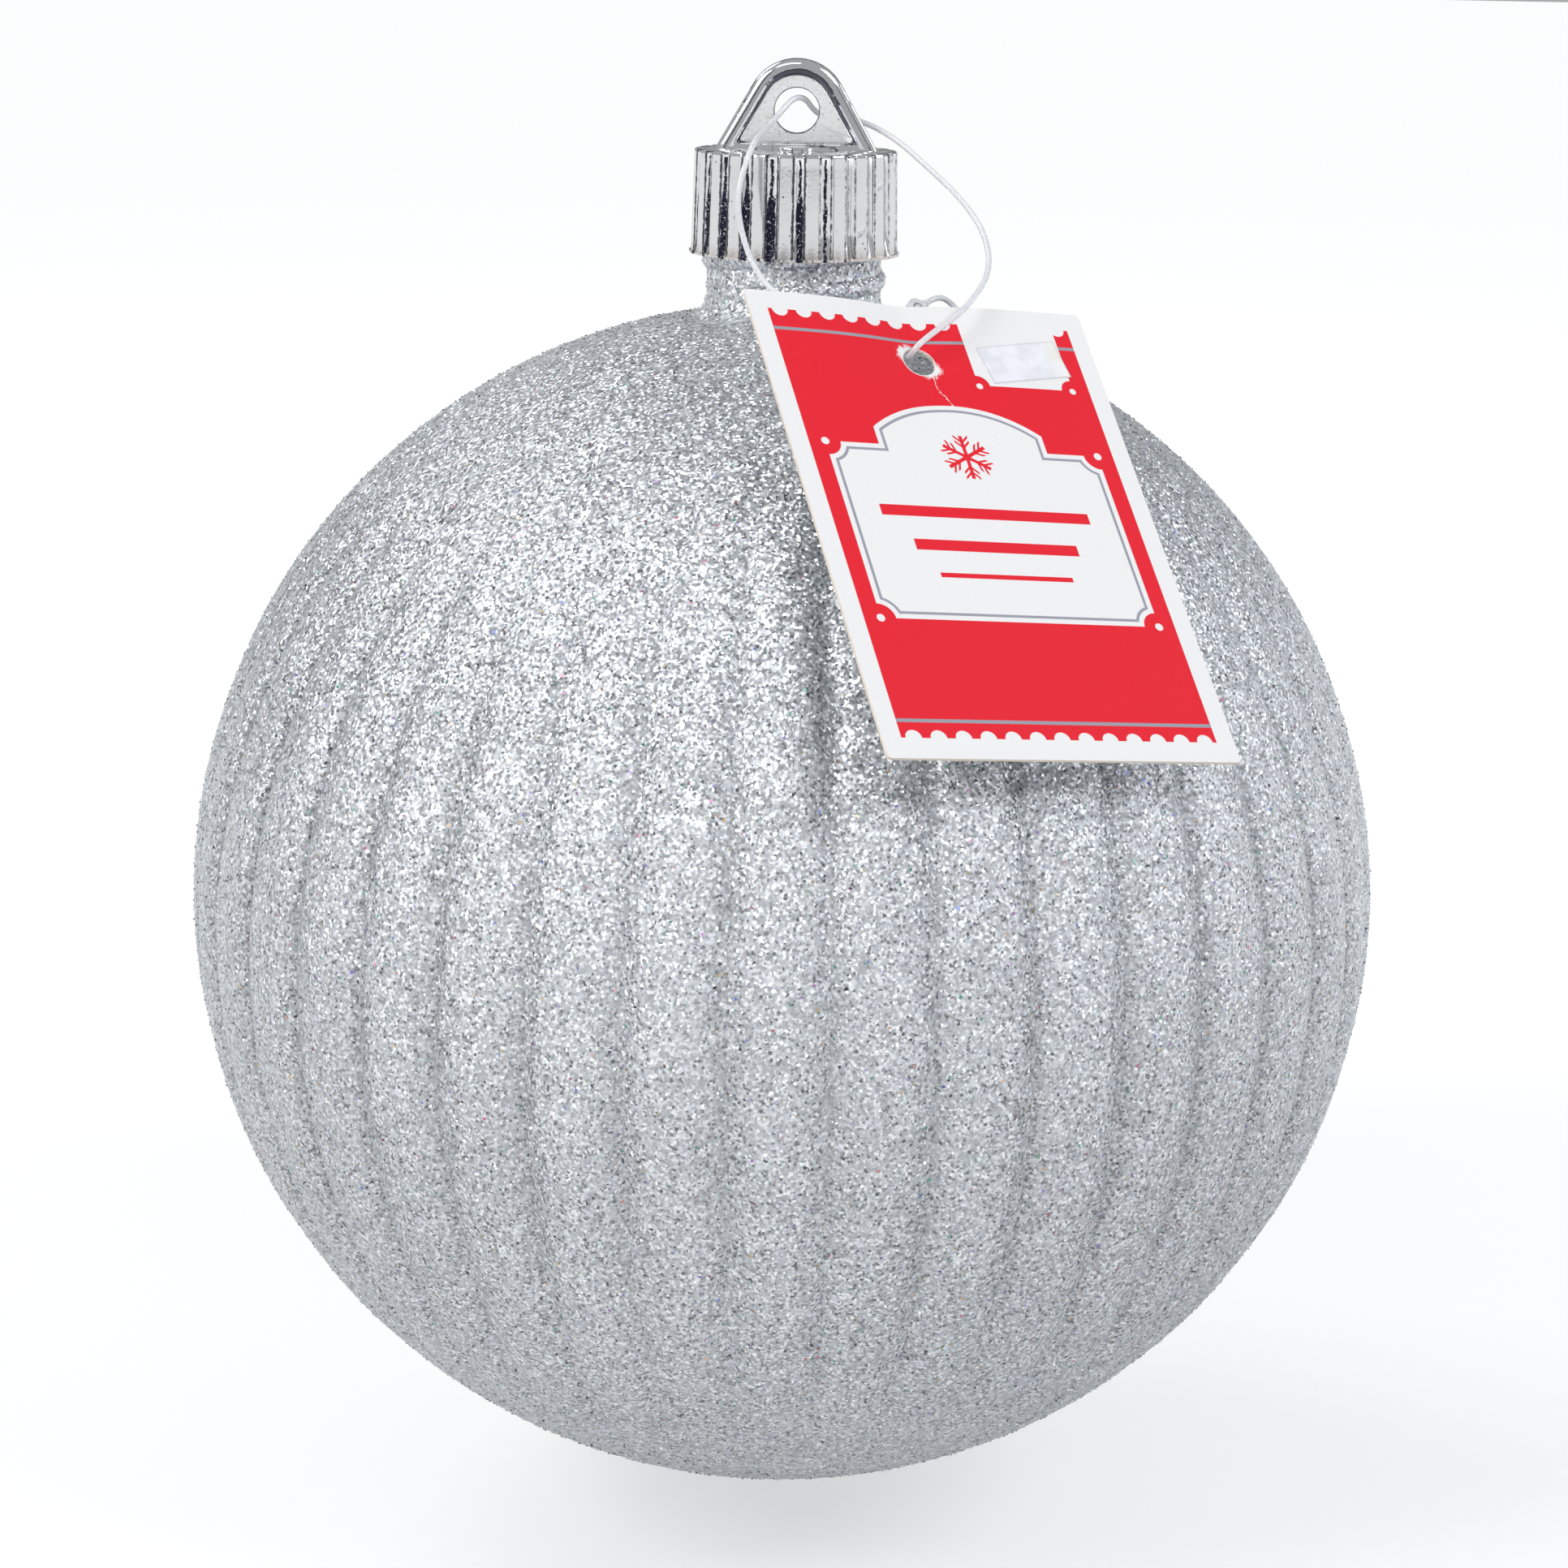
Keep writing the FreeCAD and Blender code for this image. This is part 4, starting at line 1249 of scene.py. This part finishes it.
# ------------------------------------------------------------------ the nylon loop
LOCK_CENTRE = Vector((14.5, -19.8, -22.0)) * MM
LOOP_ROUTE = [  # millimetres, from the lock's stub, round through the lug and back through the tag
    (17.0, -16.2, -20.6), (18.7, -15.0, -21.3), (20.3, -15.5, -23.4), (20.3, -18.0, -26.2),
    (15.6, -20.4, -26.2), (10.0, -22.5, -25.2), (4.5, -23.2, -23.7), (-1.2, -22.8, -20.8),
    (-4.3, -17.6, -18.4), (-6.3, -15.6, -14.0), (-7.0, -15.0, -9.0), (-5.2, -12.9, -3.3),
    (-4.1, -6.6, -2.4), (-2.8, -2.1, -1.2), (0.3, 0.1, 2.4), (2.8, 2.3, -1.1),
    (7.0, 3.6, -0.9), (12.0, 1.8, -3.1), (16.2, -0.9, -6.6), (19.8, -4.8, -9.6),
    (22.8, -10.6, -13.3), (23.4, -17.2, -17.6), (20.4, -24.2, -20.9), (17.9, -28.2, -22.4),
    (15.8, -30.3, -23.7), (14.2, -31.9, -24.9), (13.3, -30.5, -26.6), (13.1, -27.1, -25.2),
    (13.8, -23.5, -22.4),
]


class ORNAMENT_OT_loop(bpy.types.Operator):
    """Nylon loop through the lug and the tag"""
    bl_idname = "ornament.loop"
    bl_label = "Nylon loop"

    def execute(self, context):
        settings = context.scene.ornament_loop
        outward = tag_frame(context.scene.ornament_tag)[2]
        stub = Vector((0.56, 0.76, 0.33))
        stub = (stub - outward * stub.dot(outward)).normalized()
        route = [LOCK_CENTRE + stub * 2.0 * MM]
        route += [Vector(p) * MM for p in LOOP_ROUTE]
        route += [LOCK_CENTRE + outward * 1.5 * MM, LOCK_CENTRE - outward * 1.0 * MM]
        line = bpy.data.curves.new("tag_loop_line", "CURVE")
        line.dimensions = "3D"
        spline = line.splines.new("NURBS")
        spline.points.add(len(route) - 1)
        for point, where in zip(spline.points, route):
            point.co = (*where, 1)
        spline.order_u = 3
        spline.use_endpoint_u = True
        spline.resolution_u = 10
        line.bevel_depth = settings.diameter / 2
        line.bevel_resolution = 4
        line.use_fill_caps = True
        loop = bpy.data.objects.new("nylon_loop", line)
        context.scene.collection.objects.link(loop)
        line.materials.append(milky_nylon(tuple(settings.nylon)))
        lock, tip = frame["nodes"]["loop_lock"], frame["nodes"]["loop_tip"]
        for piece in (lock, tip):
            piece.data.materials.clear()
            piece.data.materials.append(line.materials[0])
        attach(loop, "loop")
        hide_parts("tag_loop")
        return {"FINISHED"}


class ORNAMENT_OT_liner(bpy.types.Operator):
    """Finish of the sealing disc inside the cap"""
    bl_idname = "ornament.liner"
    bl_label = "Sealing disc"

    def execute(self, context):
        liner = frame["nodes"]["cap_liner"]
        liner.data.materials.clear()
        liner.data.materials.append(foam((0.88, 0.88, 0.85)))
        return {"FINISHED"}


# ------------------------------------------------------------------ the stage
def area_light(name, place, target, size, watts, tone):
    """A soft square light aimed at a point."""
    data = bpy.data.lights.new(name, "AREA")
    data.shape = "SQUARE"
    data.size = size
    data.energy = watts
    data.color = tone
    light = bpy.data.objects.new(name, data)
    light.location = place
    light.rotation_euler = (target - place).to_track_quat("-Z", "Y").to_euler()
    bpy.context.scene.collection.objects.link(light)


def floor_plane(name, tone, height, near_glow, far_glow):
    """A pale floor whose own glow grows with the distance from the ornament."""
    floor = primitive(name, "plane", size=24, location=(0, 0, height))
    pale = Material(name + "_paint", Roughness=0.9, Specular_IOR_Level=0.1, Emission_Strength=1.0)
    place = pale.place()
    grain = pale.cloud(place, 60, 2.0)
    pale.feed("Base Color", pale.mix(grain * 0.04, tone, shaded(tone, 0.96)))
    x, y, _ = pale.axes(place)
    far = (x * x + y * y).root().above(0.42, 0.30)
    pale.feed("Emission Color", pale.mix(far, (near_glow,) * 3, (far_glow,) * 3))
    floor.data.materials.append(pale.data)
    return floor


class ORNAMENT_OT_stage(bpy.types.Operator):
    """Pale floor, soft lights and the camera"""
    bl_idname = "ornament.stage"
    bl_label = "Stage"

    def execute(self, context):
        settings = context.scene.ornament_stage
        centre = Vector((0, 0, BALL_CENTRE))
        # the ornament hangs, and its ball comes down as the cap is unscrewed
        ground = FOOT - settings.clearance
        # the camera sees one floor, and the ball is lit by another just under it
        # this floor glows less near the ball: a painted soft shade round the ornament
        floor = floor_plane("floor", shaded(settings.backdrop, 0.62), ground, 0.50, 0.74)
        floor.visible_glossy = floor.visible_diffuse = floor.visible_shadow = False
        bounce = floor_plane("floor_bounce", shaded(settings.backdrop, 0.88),
                             ground - 0.1 * MM, 0.01, 0.50)
        bounce.visible_camera = bounce.visible_shadow = False
        world = bpy.data.worlds.new("studio")
        world.use_nodes = True
        world.node_tree.nodes["Background"].inputs["Color"].default_value = (0.95, 0.97, 1.0, 1)
        world.node_tree.nodes["Background"].inputs["Strength"].default_value = 0.42
        context.scene.world = world
        context.scene.view_settings.view_transform = "Standard"
        for name, place, size, watts, tone in LIGHTS:
            area_light(name, centre + Vector(place), centre, size, watts, tone)
        # dark boards in front give the mirror cap its dark lines
        for name, place, width in BOARDS:
            board = primitive(name, "plane", (width, 0.9, 1), size=1,
                              location=centre + Vector(place), rotation=(math.pi / 2, 0, 0))
            dark = Material(name + "_cloth", Roughness=0.9)
            weave = dark.cloud(dark.place(), 300, 2.0)
            dark.feed("Base Color", dark.mix(weave, (0.004, 0.005, 0.012), (0.012, 0.014, 0.026)))
            board.data.materials.append(dark.data)
            board.visible_camera = board.visible_shadow = board.visible_diffuse = False
        # a bright strip over the camera gives the lug and the cap's corner their white lines
        place = centre + Vector((-0.13, -0.50, 0.66))
        aim = (centre - place).to_track_quat("Z", "Y").to_euler()
        strip = primitive("strip", "plane", (0.34, 0.15, 1), size=1, location=place, rotation=aim)
        glow = Material("strip_glow", Roughness=0.9, Emission_Strength=1.2)
        cloth = glow.cloud(glow.place(), 30, 2.0)
        glow.feed("Emission Color", glow.mix(cloth * 0.2, (1.0, 1.0, 1.0), (0.8, 0.82, 0.85)))
        strip.data.materials.append(glow.data)
        strip.visible_camera = strip.visible_shadow = strip.visible_diffuse = False
        data = bpy.data.cameras.new("camera")
        data.lens = settings.lens
        data.sensor_width = 36
        data.clip_start = 0.01
        camera = bpy.data.objects.new("camera", data)
        context.scene.collection.objects.link(camera)
        where = centre + settings.distance * Vector((0, -math.cos(settings.rise),
                                                     math.sin(settings.rise)))
        forward = Vector((0, math.cos(settings.dip), -math.sin(settings.dip)))
        side = Vector((1, 0, 0))
        level_up = side.cross(forward)
        up = level_up * math.cos(settings.lean) - side * math.sin(settings.lean)
        right = forward.cross(up)
        turn = Matrix((right, up, -forward)).transposed()
        camera.matrix_world = Matrix.Translation(where) @ turn.to_4x4()
        context.scene.camera = camera
        return {"FINISHED"}


STEPS = [ORNAMENT_OT_ball, ORNAMENT_OT_flakes, ORNAMENT_OT_cap, ORNAMENT_OT_lug, ORNAMENT_OT_tag,
         ORNAMENT_OT_sticker, ORNAMENT_OT_loop, ORNAMENT_OT_liner, ORNAMENT_OT_stage]


class ORNAMENT_PT_panel(bpy.types.Panel):
    """The ornament's pieces and sizes"""
    bl_label = "Ornament"
    bl_idname = "ORNAMENT_PT_panel"
    bl_space_type = "VIEW_3D"
    bl_region_type = "UI"
    bl_category = "Ornament"

    def draw(self, context):
        for step in STEPS:
            self.layout.operator(step.bl_idname)
        for name in GROUPS:
            box = self.layout.box()
            group = getattr(context.scene, name)
            for key in group.__annotations__:
                box.prop(group, key)


def register():
    """Add the classes and the scene's settings."""
    for group in GROUPS.values():
        bpy.utils.register_class(group)
    for step in STEPS:
        bpy.utils.register_class(step)
    bpy.utils.register_class(ORNAMENT_PT_panel)
    for name, group in GROUPS.items():
        setattr(bpy.types.Scene, name, bpy.props.PointerProperty(type=group))


def unregister():
    """Take them away again."""
    for name in GROUPS:
        delattr(bpy.types.Scene, name)
    bpy.utils.unregister_class(ORNAMENT_PT_panel)
    for step in reversed(STEPS):
        bpy.utils.unregister_class(step)
    for group in GROUPS.values():
        bpy.utils.unregister_class(group)


def main():
    """Model everything."""
    register()
    for step in STEPS:
        getattr(bpy.ops.ornament, step.bl_idname.split(".")[1])()
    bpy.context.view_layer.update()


if __name__ == "__main__":
    main()
